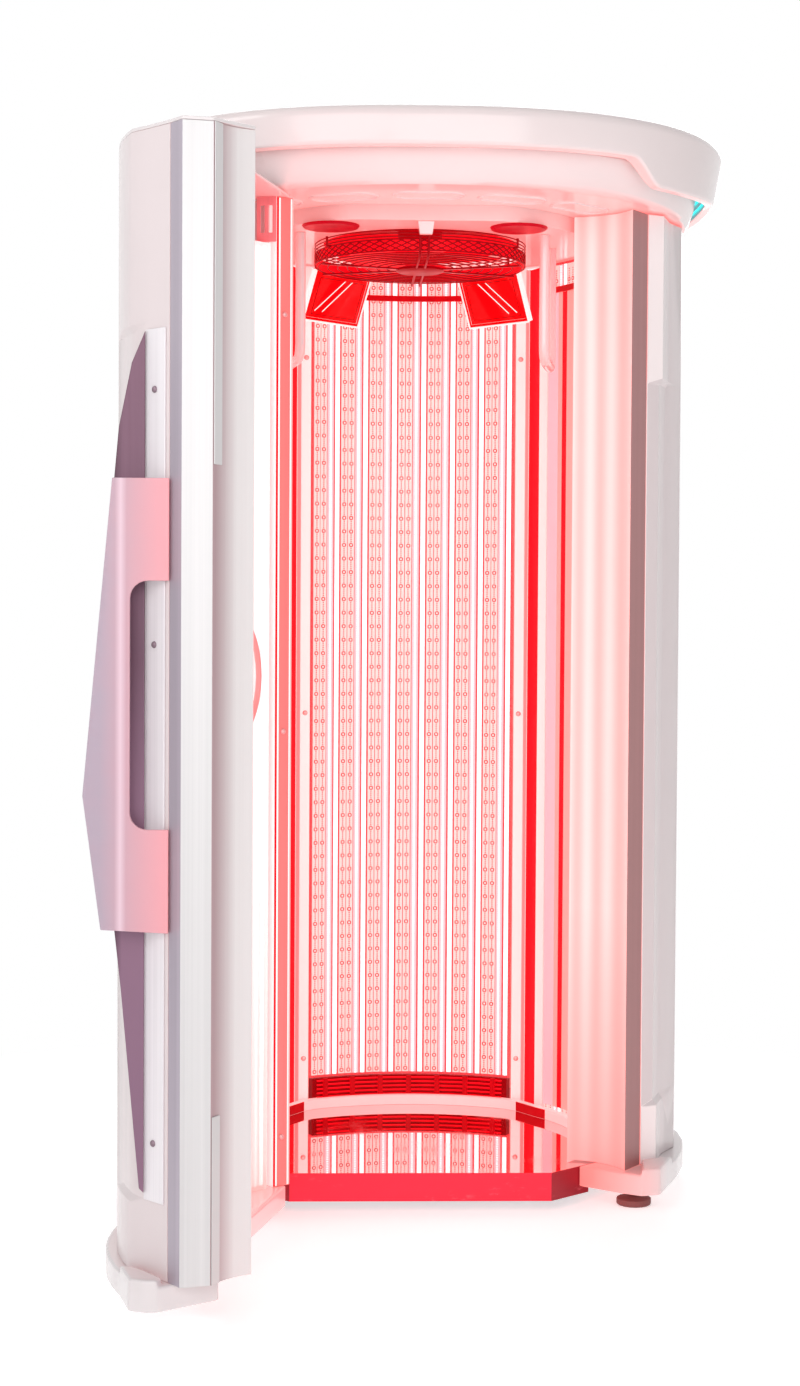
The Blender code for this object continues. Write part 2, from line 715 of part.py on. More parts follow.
def make_skirting_rail(cabinet):
    """One pale cove rail in front of the side walls, the corner posts and the back wall."""
    back_centre = (0, BACK_FRONT_Y - BACK_R)
    half = degrees(atan2(BACK_HALF, sqrt(BACK_R ** 2 - BACK_HALF ** 2)))
    side = arc((0, CABIN_Y), CABIN_R - FIT, SIDE_START, SIDE_END, 12)
    back = arc(back_centre, BACK_R - FIT, 90 - half, 90 + half, 16)
    path = side + list(RAIL_CORNER) + back + mirrored(side + list(RAIL_CORNER))
    floor = PLATFORM_TOP + FIT
    prism("skirting_rail", wall(path, RAIL_DEPTH), floor, floor + RAIL_HEIGHT, WHITE, cabinet)


# Canopy

def eased(share):
    """Soft start and end of a share that is held between 0 and 1."""
    share = min(max(share, 0.0), 1.0)
    return share * share * (3 - 2 * share)


def rim_step(point):
    """0 over the raised front of the rim, 1 behind the steps at its sides."""
    x, y = point
    if y > CANOPY_Y:
        return 1.0
    return eased((abs(x) - RIM_STEP_START) / (RIM_STEP_END - RIM_STEP_START))


def rim_drop(point):
    """How far the lip lies below the rim's front edge."""
    rise = eased(1 - (CANOPY_Y - point[1]) / RIM_RISE_LENGTH)
    return RIM_DROP * rim_step(point) * (1 - RIM_RISE * rise)


def make_canopy_rim(cabinet):
    steps = CANOPY_STEPS
    plan = superellipse(0.0, steps)

    def lip_row(inset, flare, lift):
        points = []
        for i, outer in enumerate(plan):
            x, y = superellipse(inset + flare * rim_step(outer), steps)[i]
            points.append((x, y, RIM_FRONT_BOTTOM - rim_drop(outer) + lift))
        return points

    def crown_row(inset, depth):
        return at_height(superellipse(inset, steps), CANOPY_TOP - depth)

    rows = [lip_row(RIM_WALL + RIM_BEAD, 0.0, 0.0), lip_row(RIM_LIP, RIM_FLARE, 0.0)]
    rows.append(lip_row(RIM_LIP - RIM_ROUND, RIM_FLARE, RIM_ROUND))
    rows += [crown_row(inset, depth) for inset, depth in RIM_CROWN]
    rows += [crown_row(RIM_WALL, 0.0), lip_row(RIM_WALL, 0.0, RIM_BEAD_RISE)]
    ring("canopy_rim", rows, WHITE, cabinet)


def ceiling_outline(steps, grow=0.0):
    """The ceiling's circle with its front cut off straight."""
    points = circle((0, CEILING_Y), CEILING_R + grow, steps)
    return [(x, max(y, CEILING_FRONT - grow)) for x, y in points]


def make_canopy_body(cabinet):
    steps = CANOPY_STEPS
    bottom = SHELL_TOP + DOOR_GAP
    lower = circle((0, SHELL_Y), SHELL_R + BODY_PROUD, steps)
    upper = superellipse(RIM_WALL + BODY_STEP, steps)
    flange = superellipse(RIM_WALL + FIT, steps)
    inner = ceiling_outline(steps, FIT)

    def between(share, z):
        mixed = zip(lower, upper)
        return [(a[0] + (b[0] - a[0]) * share, a[1] + (b[1] - a[1]) * share, z) for a, b in mixed]

    flange_z = BODY_TOP - BODY_FLANGE
    rows = [between(share, bottom + rise) for share, rise in BODY_CURVE]
    rows += [
        at_height(upper, flange_z),
        at_height(flange, flange_z),
        at_height(flange, BODY_TOP),
        at_height(inner, BODY_TOP),
        at_height(inner, bottom),
    ]
    ring("canopy_body", rows, WHITE, cabinet)


def make_roof(cabinet):
    steps = CANOPY_STEPS
    outer = superellipse(RIM_WALL + FIT, steps)
    hole = circle((0, FAN_Y), ROOF_HOLE_R, steps)
    top = CANOPY_TOP - ROOF_DROP
    bottom = top - ROOF_SHEET
    rows = [(outer, bottom), (outer, top), (hole, top), (hole, bottom)]
    ring("roof_cover", [at_height(loop, z) for loop, z in rows], WHITE, cabinet)
    outer_r = ROOF_HOLE_R * cos(pi / steps) - FIT - ROOF_WIRE / 2
    hoops = [(outer_r * share, top - ROOF_SHEET / 2) for share in ROOF_HOOPS]
    wire_basket("roof_grille", (0, FAN_Y), hoops, ROOF_SPOKES, ROOF_WIRE, DARK_RED, cabinet)


def make_accent_lights(cabinet):
    outer = superellipse(RIM_WALL + FIT, CANOPY_STEPS)
    inner = superellipse(RIM_WALL + FIT + ACCENT_WIDTH, CANOPY_STEPS)
    reach = CANOPY_STEPS // 8
    picks = [i % CANOPY_STEPS for i in range(-reach, reach + 1)]
    bottom = RIM_FRONT_BOTTOM - ACCENT_DROP
    strip = [outer[i] for i in picks] + [inner[i] for i in reversed(picks)]
    for side, shape in (("right", list), ("left", mirrored)):
        prism(side + "_accent_light", shape(strip), bottom, bottom + ACCENT_HEIGHT, TURQUOISE, cabinet)


# Ceiling and fan

def make_ceiling(cabinet):
    steps = CANOPY_STEPS
    outer = ceiling_outline(steps)
    hole = circle((0, FAN_Y), FAN_HOLE_R, steps)
    rows = [(outer, CEILING_Z), (outer, CEILING_TOP), (hole, CEILING_TOP), (hole, CEILING_Z)]
    ring("ceiling_panel", [at_height(loop, z) for loop, z in rows], WHITE, cabinet)
    top = CEILING_Z - FIT
    face = top - SPEAKER_DEPTH
    profile = [(SPEAKER_R - SPEAKER_EDGE, face), (SPEAKER_R, face + SPEAKER_EDGE), (SPEAKER_R, top)]
    for side, name in ((1, "right_speaker"), (-1, "left_speaker")):
        turned(name, (side * SPEAKER_X, SPEAKER_Y), profile, 28, DARK_RED, cabinet)
    stop_top = box_outline((0, STOP_Y), STOP_WIDTH, STOP_DEPTH)
    stop_foot = box_outline((0, STOP_Y), STOP_WIDTH - STOP_TAPER, STOP_DEPTH - STOP_TAPER)
    loft("door_stop", [at_height(stop_foot, STOP_BOTTOM), at_height(stop_top, top)], WHITE, cabinet)


def make_fan_guard(cabinet):
    wire = GUARD_WIRE
    top = CEILING_Z - FIT - wire / 2
    profile = [(GUARD_R, top), (GUARD_R, GUARD_MIDDLE), (GUARD_R, GUARD_BOTTOM + GUARD_BEND)]
    profile += [(GUARD_R * share, GUARD_BOTTOM) for share in GUARD_HOOPS]
    wire_basket("fan_guard", (0, FAN_Y), profile, GUARD_RIBS, wire, DARK_RED, cabinet)


def make_fan(cabinet, fan_axis):
    centre = (0, FAN_Y)
    hub_top = ROTOR_Z + HUB_HALF
    hub_foot = ROTOR_Z - HUB_HALF
    root_r = HUB_R - HUB_BEVEL
    low = ROTOR_Z - BLADE_RISE / 2
    high = ROTOR_Z + BLADE_RISE / 2
    hub = [(root_r, hub_foot), (HUB_R, hub_foot + HUB_BEVEL), (HUB_R, hub_top)]
    rotor = turned("fan_rotor", centre, hub, 20, DARK_RED, fan_axis)
    for k in range(BLADES):
        start = 360 * k / BLADES
        rows = []
        for share in (0.0, 0.5, 1.0):
            radius = root_r + (ROTOR_R - root_r) * share
            half = BLADE_SPREAD * (BLADE_ROOT_SHARE + (1 - BLADE_ROOT_SHARE) * share) / 2
            lead = on_circle(centre, radius, start + half)
            trail = on_circle(centre, radius, start - half)
            under = [(*trail, low), (*lead, high)]
            rows.append(under + [(*lead, high + BLADE_SHEET), (*trail, low + BLADE_SHEET)])
        blade = loft("blade_%d" % (k + 1), rows, DARK_RED, fan_axis)
        join(rotor, blade)
    motor_bottom = hub_top + FIT
    motor_top = motor_bottom + MOTOR_HEIGHT
    motor = turned("fan_motor", centre, [(MOTOR_R, motor_bottom), (MOTOR_R, motor_top)], 24, BLACK, cabinet)
    reach = sqrt((FAN_HOLE_R * cos(pi / CANOPY_STEPS) - FIT) ** 2 - (MOUNT_WIDTH / 2) ** 2)
    bar = box_outline(centre, 2 * reach, MOUNT_WIDTH)
    join(motor, prism("motor_bar", bar, motor_top - MOUNT_SHEET, motor_top + MOUNT_SHEET, STEEL, cabinet))


# Face lamps, grips and electrics

def make_face_lamps(cabinet):
    """Tilted lamp, its frame and the rod it hangs on, for each side."""
    for side, name in ((1, "right_face_lamp"), (-1, "left_face_lamp")):
        turn = radians(FACE_TURN)
        tilt = radians(FACE_TILT)
        width = Vector((cos(turn) * side, -sin(turn), 0))
        level = Vector((-sin(turn) * side, -cos(turn), 0))
        up = Vector((0, 0, cos(tilt))) + level * sin(tilt)
        facing = level * cos(tilt) - Vector((0, 0, sin(tilt)))
        centre = Vector((FACE_CENTRE[0] * side, FACE_CENTRE[1], FACE_CENTRE[2]))

        def corners(grow, depth):
            half_w = FACE_WIDTH / 2 + grow
            half_h = FACE_HEIGHT / 2 + grow
            signs = ((-1, -1), (1, -1), (1, 1), (-1, 1))
            return [centre + width * (a * half_w) + up * (b * half_h) + facing * depth for a, b in signs]

        front = FACE_SHEET + FACE_LIP
        rows = [corners(FACE_FRAME, 0), corners(FACE_FRAME, front), corners(0, front), corners(0, FACE_SHEET)]
        lamp = loft(name, rows, WHITE, cabinet)
        seat = centre + up * (FACE_HEIGHT / 2 + FACE_FRAME) + facing * (FACE_SHEET / 2)
        rod_foot = Vector((seat.x, seat.y, seat.z - ROD_R))
        rod_top = Vector((seat.x, seat.y, CEILING_Z - FIT))
        join(lamp, loft(name + "_rod", tube_rows([rod_foot, rod_top], ROD_R, 8), STEEL, cabinet))


def make_grip_bars(cabinet):
    top = CEILING_Z - FIT
    for side, name in ((1, "right_grip_bar"), (-1, "left_grip_bar")):
        front = (GRIP_FRONT[0] * side, GRIP_FRONT[1])
        rear = (GRIP_REAR[0] * side, GRIP_REAR[1])
        points = [(*front, top), (*front, GRIP_BOTTOM), (*rear, GRIP_BOTTOM), (*rear, top)]
        loft(name, tube_rows(rounded_path(points, GRIP_BEND, 5), GRIP_TUBE_R, 10), WHITE, cabinet)


def make_electrics(cabinet):
    floor = FLOOR_TOP + FIT
    supply_top = floor + SUPPLY_HEIGHT
    supply = box_outline((0, SUPPLY_Y), SUPPLY_WIDTH, SUPPLY_DEPTH)
    prism("power_supply", supply, floor, supply_top, STEEL, cabinet)
    unit = box_outline((0, SUPPLY_Y), CONTROL_WIDTH, CONTROL_DEPTH)
    prism("control_unit", unit, supply_top + FIT, supply_top + CONTROL_HEIGHT, BLACK, cabinet)
    inlet_y = SHELL_Y + SHELL_R + FIT + INLET_DEPTH / 2
    inlet = box_outline((0, inlet_y), INLET_WIDTH, INLET_DEPTH)
    prism("mains_inlet", inlet, INLET_Z, INLET_Z + INLET_HEIGHT, BLACK, cabinet)


# Door pivots

def make_pivots(cabinet):
    pin_top = SHELL_TOP + DOOR_GAP - FIT
    plate_top = PLINTH_BOTTOM - FIT
    plate_bottom = plate_top - HINGE_PLATE
    near = arc(HINGE, HINGE_EYE_R, -130, 50, 10)
    far = arc(HINGE_ARM_END, HINGE_EYE_R, 50, 230, 10)
    plate = prism("lower_hinge_bracket", near + far, plate_bottom, plate_top, STEEL, cabinet)
    pin = [(HINGE_PIN_R, plate_bottom + HINGE_PLATE / 2), (HINGE_PIN_R, FLOOR_TOP - PIN_COVER)]
    join(plate, turned("lower_pin", HINGE, pin, 16, STEEL, cabinet))
    upper = [(HINGE_PIN_R, SHELL_TOP - DOOR_TOP_SHEET), (HINGE_PIN_R, pin_top)]
    turned("upper_hinge_pin", HINGE, upper, 16, STEEL, cabinet)


def hinge_bore(bottom, top):
    return [(HINGE_PIN_R + FIT, bottom), (HINGE_PIN_R + FIT, top)]


# Door, drawn closed

def door_arc_angles():
    """Where the door's outer arc starts and ends on the shells' circle, in degrees."""
    start = 180 + degrees(atan2(sqrt(SHELL_R ** 2 - DOOR_START_X ** 2), -DOOR_START_X))
    end = 360 - degrees(atan2(sqrt(SHELL_R ** 2 - DOOR_ARC_END_X ** 2), DOOR_ARC_END_X))
    return start, end


def door_shell_path(depth):
    """Outer edge of the closed door in plan, from the hinge end to the edge profile."""
    centre = (0, SHELL_Y)
    start, end = door_arc_angles()
    path = [DOOR_RETURN] + arc(centre, SHELL_R, start, end - DOOR_RECESS_SPREAD, 12)
    sunk_start = end - DOOR_RECESS_SPREAD + DOOR_RECESS_SLOPE
    path += arc(centre, SHELL_R - depth, sunk_start, end, 3)
    seam = Vector(EDGE_CREASE).lerp(Vector(EDGE_CHAMFER), DOOR_EDGE_SHARE)
    return path + [EDGE_CREASE, tuple(seam)]


def door_cap_outline(proud, free_end):
    """Outline of the door's top plate or foot: the outer edge, the free end and the straight chord."""
    start, end = door_arc_angles()
    outline = [DOOR_RETURN] + arc((0, SHELL_Y), SHELL_R + proud, start, end, 16)
    return outline + list(free_end) + [(CAP_CHORD_START, CHORD_Y), CAP_CORNER]


def make_door_shells(door):
    bottom = FLOOR_TOP + FIT
    top = SHELL_TOP - DOOR_TOP_SHEET - FIT
    rows = recess_rows(lambda depth: wall(door_shell_path(depth), SHELL_WALL), bottom, top)
    loft("door_outer_shell", rows, WHITE, door)
    channel = arc_between(EDGE_FLAT, EDGE_INNER, EDGE_SAG, EDGE_STEPS)
    profile = [EDGE_CHAMFER, EDGE_TIP] + channel + list(EDGE_BACK)
    prism("door_edge_profile", profile, bottom, top, ALUMINIUM, door)
    strip = wall(offset_path(channel, -FIT)[:COVER_STEPS + 1], -COVER_SHEET)
    prism("edge_cover_upper", strip, COVER_UPPER_BOTTOM, top, ALUMINIUM, door)
    prism("edge_cover_lower", strip, bottom, COVER_LOWER_TOP, ALUMINIUM, door)
    stile = [STILE_INNER, STILE_BACK] + list(STILE_REAR)
    prism("door_hinge_stile", stile, bottom, top, ALUMINIUM, door)


def make_door_caps(door):
    sheet_bottom = SHELL_TOP - DOOR_TOP_SHEET
    top_end = [EDGE_CREASE, EDGE_CHAMFER, EDGE_TIP, EDGE_FLAT, EDGE_INNER]
    top_end += [DOOR_PANEL_END, (TOP_CHORD_END, CHORD_Y)]
    foot_end = list(DOOR_FOOT_END) + [(PLATFORM_HALF, CHORD_Y)]
    plate_outline = door_cap_outline(0.0, top_end)
    foot_outline = door_cap_outline(PLINTH_PROUD, foot_end)
    plate = prism("door_top_plate", plate_outline, sheet_bottom, SHELL_TOP, WHITE, door)
    foot = prism("door_foot_cover", foot_outline, PLINTH_BOTTOM, FLOOR_TOP, WHITE, door)
    join(foot, prism("door_foot_nose", DOOR_NOSE, nose_foot(), NOSE_TOP, WHITE, door))
    upper = hinge_bore(sheet_bottom - CUT_PAST, SHELL_TOP + CUT_PAST)
    lower = hinge_bore(PLINTH_BOTTOM - CUT_PAST, FLOOR_TOP - PIN_COVER + PIN_CLEAR)
    cut(plate, turned("upper_bore", HINGE, upper, 16, STEEL, door))
    cut(foot, turned("lower_bore", HINGE, lower, 16, STEEL, door))


def make_door_light(door):
    bottom = FLOOR_TOP + FIT
    panel = arc_between(DOOR_PANEL_START, DOOR_PANEL_END, -DOOR_PANEL_SAG, PANEL_STEPS)
    prism("door_acrylic", wall(panel, -ACRYLIC), bottom, ACRYLIC_TOP, CLEAR, door)
    boards = wall(offset_path(panel, -ACRYLIC - BOARD_GAP), -BOARD)
    prism("door_led_boards", boards, bottom, ACRYLIC_TOP, LED_BOARD, door)
    here = Vector(panel[PULL_RING_STEP])
    ahead = (Vector(panel[PULL_RING_STEP + 1]) - Vector(panel[PULL_RING_STEP - 1])).normalized()
    inward = Vector((-ahead.y, ahead.x))
    half_chord = (Vector(panel[-1]) - Vector(panel[0])).length / 2
    panel_r = (half_chord ** 2 + DOOR_PANEL_SAG ** 2) / (2 * DOOR_PANEL_SAG)
    touch_r = PULL_RING_R + PULL_RING_TUBE * PULL_RING_SEAT
    rise = panel_r - sqrt(panel_r ** 2 - touch_r ** 2) + PULL_RING_TUBE + FIT
    path = []
    for k in range(PULL_RING_STEPS):
        turn = 2 * pi * k / PULL_RING_STEPS
        across = here + inward * rise + ahead * (PULL_RING_R * cos(turn))
        path.append(Vector((across.x, across.y, PULL_RING_Z + PULL_RING_R * sin(turn))))
    normal = Vector((inward.x, inward.y, 0))
    middle = Vector((here.x + inward.x * rise, here.y + inward.y * rise, PULL_RING_Z))
    rows = []
    for k in range(PULL_RING_SIDES):
        turn = 2 * pi * k / PULL_RING_SIDES
        out = PULL_RING_TUBE * cos(turn)
        lift = normal * (PULL_RING_TUBE * sin(turn))
        rows.append([point + (point - middle).normalized() * out + lift for point in path])
    ring("door_pull_ring", rows, WHITE, door)


def make_hinge_bracket(door):
    x = STILE_INNER[0] + FIT
    y = STILE_INNER[1] - FIT
    bottom = ACRYLIC_TOP + BRACKET_LIFT
    top = SHELL_TOP - DOOR_TOP_SHEET - FIT
    middle = (x + BRACKET_SHEET / 2, y - BRACKET_WIDTH / 2)
    outline = box_outline(middle, BRACKET_SHEET, BRACKET_WIDTH)
    plate = prism("door_hinge_bracket", outline, bottom, top, STEEL, door)
    slot_bottom = bottom + BRACKET_SLOT_END
    slot_top = top - BRACKET_SLOT_END
    for k, share in enumerate(BRACKET_SLOT_SHARES):
        slot = box_outline((x, y - BRACKET_WIDTH * share), CUT_PAST, BRACKET_SLOT)
        cut(plate, prism("bracket_slot_%d" % (k + 1), slot, slot_bottom, slot_top, STEEL, door))


# Outer grip of the door

def grip_frame():
    """Directions in plan: along the grip plate away from the door, and through its thickness."""
    turn = radians(HANDLE_ANGLE)
    return Vector((cos(turn), sin(turn))), Vector((sin(turn), -cos(turn)))


def grip_rows(outline, near, far):
    """Two faces of a plate whose outline is (reach, height), between two depths."""
    out, through = grip_frame()
    base = Vector(EDGE_CHAMFER)
    rows = []
    for depth in (near, far):
        spots = [(base + out * reach + through * depth, z) for reach, z in outline]
        rows.append([(spot.x, spot.y, z) for spot, z in spots])
    return rows


def handle_outline():
    top_bend = arc((SLOT_DEPTH - SLOT_RADIUS, SLOT_TOP - SLOT_RADIUS), SLOT_RADIUS, 90, 0, 6)
    low_bend = arc((SLOT_DEPTH - SLOT_RADIUS, SLOT_BOTTOM + SLOT_RADIUS), SLOT_RADIUS, 0, -90, 6)
    outer = [(0.0, HANDLE_BOTTOM), (HANDLE_FOOT, HANDLE_BOTTOM + HANDLE_FOOT_RISE)]
    outer += [(HANDLE_REACH, HANDLE_WIDEST_Z), (HANDLE_ARM, HANDLE_TOP)]
    outer += [(0.0, HANDLE_TOP), (0.0, SLOT_TOP)]
    return outer + top_bend + low_bend + [(0.0, SLOT_BOTTOM)]


def make_grip(door):
    loft("door_handle", grip_rows(handle_outline(), -FIT - HANDLE_THICK, -FIT), ROSE, door)
    fin_near = FIN_DEPTH - FIN_SHEET
    loft("handle_fin", grip_rows(FIN_OUTLINE, fin_near, FIN_DEPTH), MAUVE, door)
    edge = Vector(EDGE_CHAMFER)
    along = (Vector(EDGE_CREASE) - edge).normalized()
    start = edge + along * STRIP_START
    end = start + along * STRIP_WIDTH
    strip = wall(offset_path([tuple(start), tuple(end)], FIT), STRIP_SHEET)
    prism("handle_strip", strip, RECESS_BOTTOM, RECESS_TOP, ALUMINIUM, door)


def centre_on_floor(booth):
    """Move the booth so that the origin is the bottom centre of its box."""
    bpy.context.view_layer.update()
    low = Vector((1e9, 1e9, 1e9))
    high = -low
    for obj in bpy.data.objects:
        if obj.type == "MESH" and not obj.hide_render:
            for vertex in obj.data.vertices:
                place = obj.matrix_world @ vertex.co
                low = Vector(min(a, b) for a, b in zip(low, place))
                high = Vector(max(a, b) for a, b in zip(high, place))
    booth.location = (-(low.x + high.x) / 2, -(low.y + high.y) / 2, -low.z)
    bpy.context.view_layer.update()
    print("booth box", low[:], high[:], "shift", booth.location[:])


def build():
    clear_scene()
    booth = empty("booth")
    door = empty("door_pivot", (HINGE[0], HINGE[1], 0.0), booth)
    fan_axis = empty("fan_axis", (0.0, FAN_Y, ROTOR_Z), booth)
    make_floor(booth)
    make_plinths(booth)
    make_levelling_feet(booth)
    make_shells(booth)
    make_door_frame(booth)
    make_back_wall(booth)
    make_side_walls(booth)
    make_skirting_rail(booth)
    make_canopy_rim(booth)
    make_canopy_body(booth)
    make_roof(booth)
    make_accent_lights(booth)
    make_ceiling(booth)
    make_fan_guard(booth)
    make_fan(booth, fan_axis)
    make_face_lamps(booth)
    make_grip_bars(booth)
    make_electrics(booth)
    make_pivots(booth)
    make_door_shells(door)
    make_door_caps(door)
    make_door_light(door)
    make_hinge_bracket(door)
    make_grip(door)
    door.rotation_euler = (0.0, 0.0, -radians(OPEN_ANGLE))
    centre_on_floor(booth)


build()
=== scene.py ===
"""Looks of the stand-up light therapy booth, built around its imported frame.

Metres, +Z up, X across, Y towards the booth's back. Every piece sits where its CAD node is.
"""
import json
from math import atan2, cos, hypot, pi, radians, sin

import bmesh
import bpy
from mathutils import Matrix, Vector

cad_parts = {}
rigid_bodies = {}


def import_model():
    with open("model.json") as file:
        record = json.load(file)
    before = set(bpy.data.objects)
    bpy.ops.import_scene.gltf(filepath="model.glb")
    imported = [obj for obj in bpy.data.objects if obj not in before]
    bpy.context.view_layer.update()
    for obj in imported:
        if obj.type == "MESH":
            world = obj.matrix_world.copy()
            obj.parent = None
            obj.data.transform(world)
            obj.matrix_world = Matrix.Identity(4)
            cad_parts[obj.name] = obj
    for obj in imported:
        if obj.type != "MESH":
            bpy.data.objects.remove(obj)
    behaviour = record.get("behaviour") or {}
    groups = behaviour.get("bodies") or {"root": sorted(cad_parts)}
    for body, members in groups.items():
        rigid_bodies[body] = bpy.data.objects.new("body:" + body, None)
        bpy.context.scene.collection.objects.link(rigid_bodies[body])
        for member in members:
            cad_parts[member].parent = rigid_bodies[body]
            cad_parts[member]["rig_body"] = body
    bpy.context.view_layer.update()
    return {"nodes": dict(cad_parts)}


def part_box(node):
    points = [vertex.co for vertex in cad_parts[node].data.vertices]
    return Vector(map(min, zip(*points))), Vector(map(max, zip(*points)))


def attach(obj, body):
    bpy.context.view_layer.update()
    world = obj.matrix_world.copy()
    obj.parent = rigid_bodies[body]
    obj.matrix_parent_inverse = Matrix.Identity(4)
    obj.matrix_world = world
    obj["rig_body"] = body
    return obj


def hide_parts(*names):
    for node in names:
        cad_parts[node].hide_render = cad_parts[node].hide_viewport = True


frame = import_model()
NODES = frame["nodes"]

# Camera of the photograph
CAMERA_PLACE = (-0.202, -4.8512, 1.22)
CAMERA_YAW = 1.84        # degrees to the right of +Y
CAMERA_PITCH = 1.77      # degrees down
CAMERA_ROLL = 0.33
CAMERA_LENS = 60.5       # mm on a long side of 36 mm
SENSOR = 36.0

# Axis of the cabin, from which its light comes
CABIN_AXIS = (0.0, 0.248)
GLOW_BELOW = 0.38        # the light comes from this far below a point
GLOW_LOW = 0.30          # and from between these heights
GLOW_HIGH = 1.75

# Light bands on the doorway's jambs, measured across the booth
BAND_MIDDLE = 0.350
BAND_PITCH = 0.040

# Colours, linear
WHITE = (0.78, 0.715, 0.722)
SHELL_WHITE = (0.785, 0.690, 0.698)
CANOPY_WHITE = (0.84, 0.735, 0.735)
GLOW_PINK = (0.96, 0.50, 0.49)
GLOW_LIGHT = (1.0, 0.33, 0.31)
SILVER = (0.73, 0.71, 0.715)
CRIMSON = (0.88, 0.012, 0.045)
DEEP_RED = (0.55, 0.002, 0.008)
LIT_RED = (0.95, 0.004, 0.014)
NO_LIGHT = (0.0, 0.0, 0.0)


# Node helpers

SHADER_INPUTS = {"base": "Base Color", "metal": "Metallic", "rough": "Roughness", "cover": "Alpha",
                 "specular": "Specular IOR Level", "coat": "Coat Weight", "coat_rough": "Coat Roughness",
                 "glow": "Emission Color", "power": "Emission Strength"}


def new_material(name):
    made = bpy.data.materials.new(name)
    made.use_nodes = True
    tree = made.node_tree
    return made, tree, tree.nodes["Principled BSDF"]


def add_node(tree, kind, **values):
    node = tree.nodes.new(kind)
    for key, value in values.items():
        setattr(node, key, value)
    return node


def feed(tree, socket, value):
    """Link a socket to another one, or set its plain value or colour."""
    if isinstance(value, bpy.types.NodeSocket):
        tree.links.new(value, socket)
    elif socket.type == "RGBA":
        socket.default_value = (*value, 1.0)
    else:
        socket.default_value = value


def set_inputs(tree, shader, **values):
    """Feed a shader's inputs, named in short."""
    for key, value in values.items():
        feed(tree, shader.inputs[SHADER_INPUTS[key]], value)


def calc(tree, operation, first, second=0.0, clamp=False):
    node = add_node(tree, "ShaderNodeMath", operation=operation, use_clamp=clamp)
    feed(tree, node.inputs[0], first)
    feed(tree, node.inputs[1], second)
    return node.outputs[0]


def vector_calc(tree, operation, first, second=None):
    node = add_node(tree, "ShaderNodeVectorMath", operation=operation)
    feed(tree, node.inputs[0], first)
    if second is not None:
        feed(tree, node.inputs[1], second)
    return node.outputs["Value"] if operation in ("DOT_PRODUCT", "LENGTH") else node.outputs["Vector"]


def object_place(tree):
    return add_node(tree, "ShaderNodeTexCoord").outputs["Object"]


def axes(tree):
    """Object coordinates as sockets X, Y and Z."""
    node = add_node(tree, "ShaderNodeSeparateXYZ")
    feed(tree, node.inputs[0], object_place(tree))
    return node.outputs


def stretched(tree, scale):
    """Object coordinates stretched by a factor on each axis."""
    node = add_node(tree, "ShaderNodeMapping")
    feed(tree, node.inputs["Vector"], object_place(tree))
    node.inputs["Scale"].default_value = scale
    return node.outputs["Vector"]


def noise(tree, vector, scale, detail=3.0, roughness=0.5):
    node = add_node(tree, "ShaderNodeTexNoise")
    feed(tree, node.inputs["Vector"], vector)
    node.inputs["Scale"].default_value = scale
    node.inputs["Detail"].default_value = detail
    node.inputs["Roughness"].default_value = roughness
    return node.outputs["Fac"]


def drawn_lines(tree):
    """Fine upright lines, as drawing leaves them on an extrusion."""
    return noise(tree, stretched(tree, (260.0, 260.0, 1.2)), 1.0, 3.0)


def ramp(tree, factor, low, high):
    """0 at low, 1 at high, straight between."""
    node = add_node(tree, "ShaderNodeMapRange", clamp=True)
    feed(tree, node.inputs["Value"], factor)
    node.inputs["From Min"].default_value = low
    node.inputs["From Max"].default_value = high
    return node.outputs["Result"]


def between(tree, factor, low, high):
    """A value that runs from low to high with a factor from 0 to 1."""
    node = add_node(tree, "ShaderNodeMapRange", clamp=True)
    feed(tree, node.inputs["Value"], factor)
    node.inputs["To Min"].default_value = low
    node.inputs["To Max"].default_value = high
    return node.outputs["Result"]


def blend_colour(tree, factor, first, second):
    node = add_node(tree, "ShaderNodeMix", data_type="RGBA", blend_type="MIX")
    feed(tree, node.inputs["Factor"], factor)
    for name, value in (("A", first), ("B", second)):
        socket = [s for s in node.inputs if s.name == name and s.type == "RGBA"][0]
        feed(tree, socket, value)
    return [s for s in node.outputs if s.type == "RGBA"][0]


def dimmed(colour, share):
    return tuple(c * share for c in colour)


def bump(tree, shader, height, strength, distance):
    node = add_node(tree, "ShaderNodeBump")
    node.inputs["Strength"].default_value = strength
    node.inputs["Distance"].default_value = distance
    feed(tree, node.inputs["Height"], height)
    feed(tree, shader.inputs["Normal"], node.outputs["Normal"])


def cabin_glow(tree, gain):
    """How strongly the lit cabin shines on a spot, from its place and the way it faces."""
    coords = add_node(tree, "ShaderNodeTexCoord")
    height = calc(tree, "SUBTRACT", axes(tree)["Z"], GLOW_BELOW)
    height = calc(tree, "MINIMUM", calc(tree, "MAXIMUM", height, GLOW_LOW), GLOW_HIGH)
    source = add_node(tree, "ShaderNodeCombineXYZ")
    source.inputs["X"].default_value = CABIN_AXIS[0]
    source.inputs["Y"].default_value = CABIN_AXIS[1]
    feed(tree, source.inputs["Z"], height)
    reach = vector_calc(tree, "SUBTRACT", source.outputs[0], coords.outputs["Object"])
    distance = vector_calc(tree, "LENGTH", reach)
    toward = vector_calc(tree, "NORMALIZE", reach)
    facing = vector_calc(tree, "DOT_PRODUCT", coords.outputs["Normal"], toward)
    falling = calc(tree, "DIVIDE", gain, calc(tree, "MULTIPLY", distance, distance))
    received = calc(tree, "MULTIPLY", calc(tree, "MAXIMUM", facing, 0.0), falling)
    return calc(tree, "SUBTRACT", 1.0, calc(tree, "EXPONENT", calc(tree, "MULTIPLY", received, -1.0)))


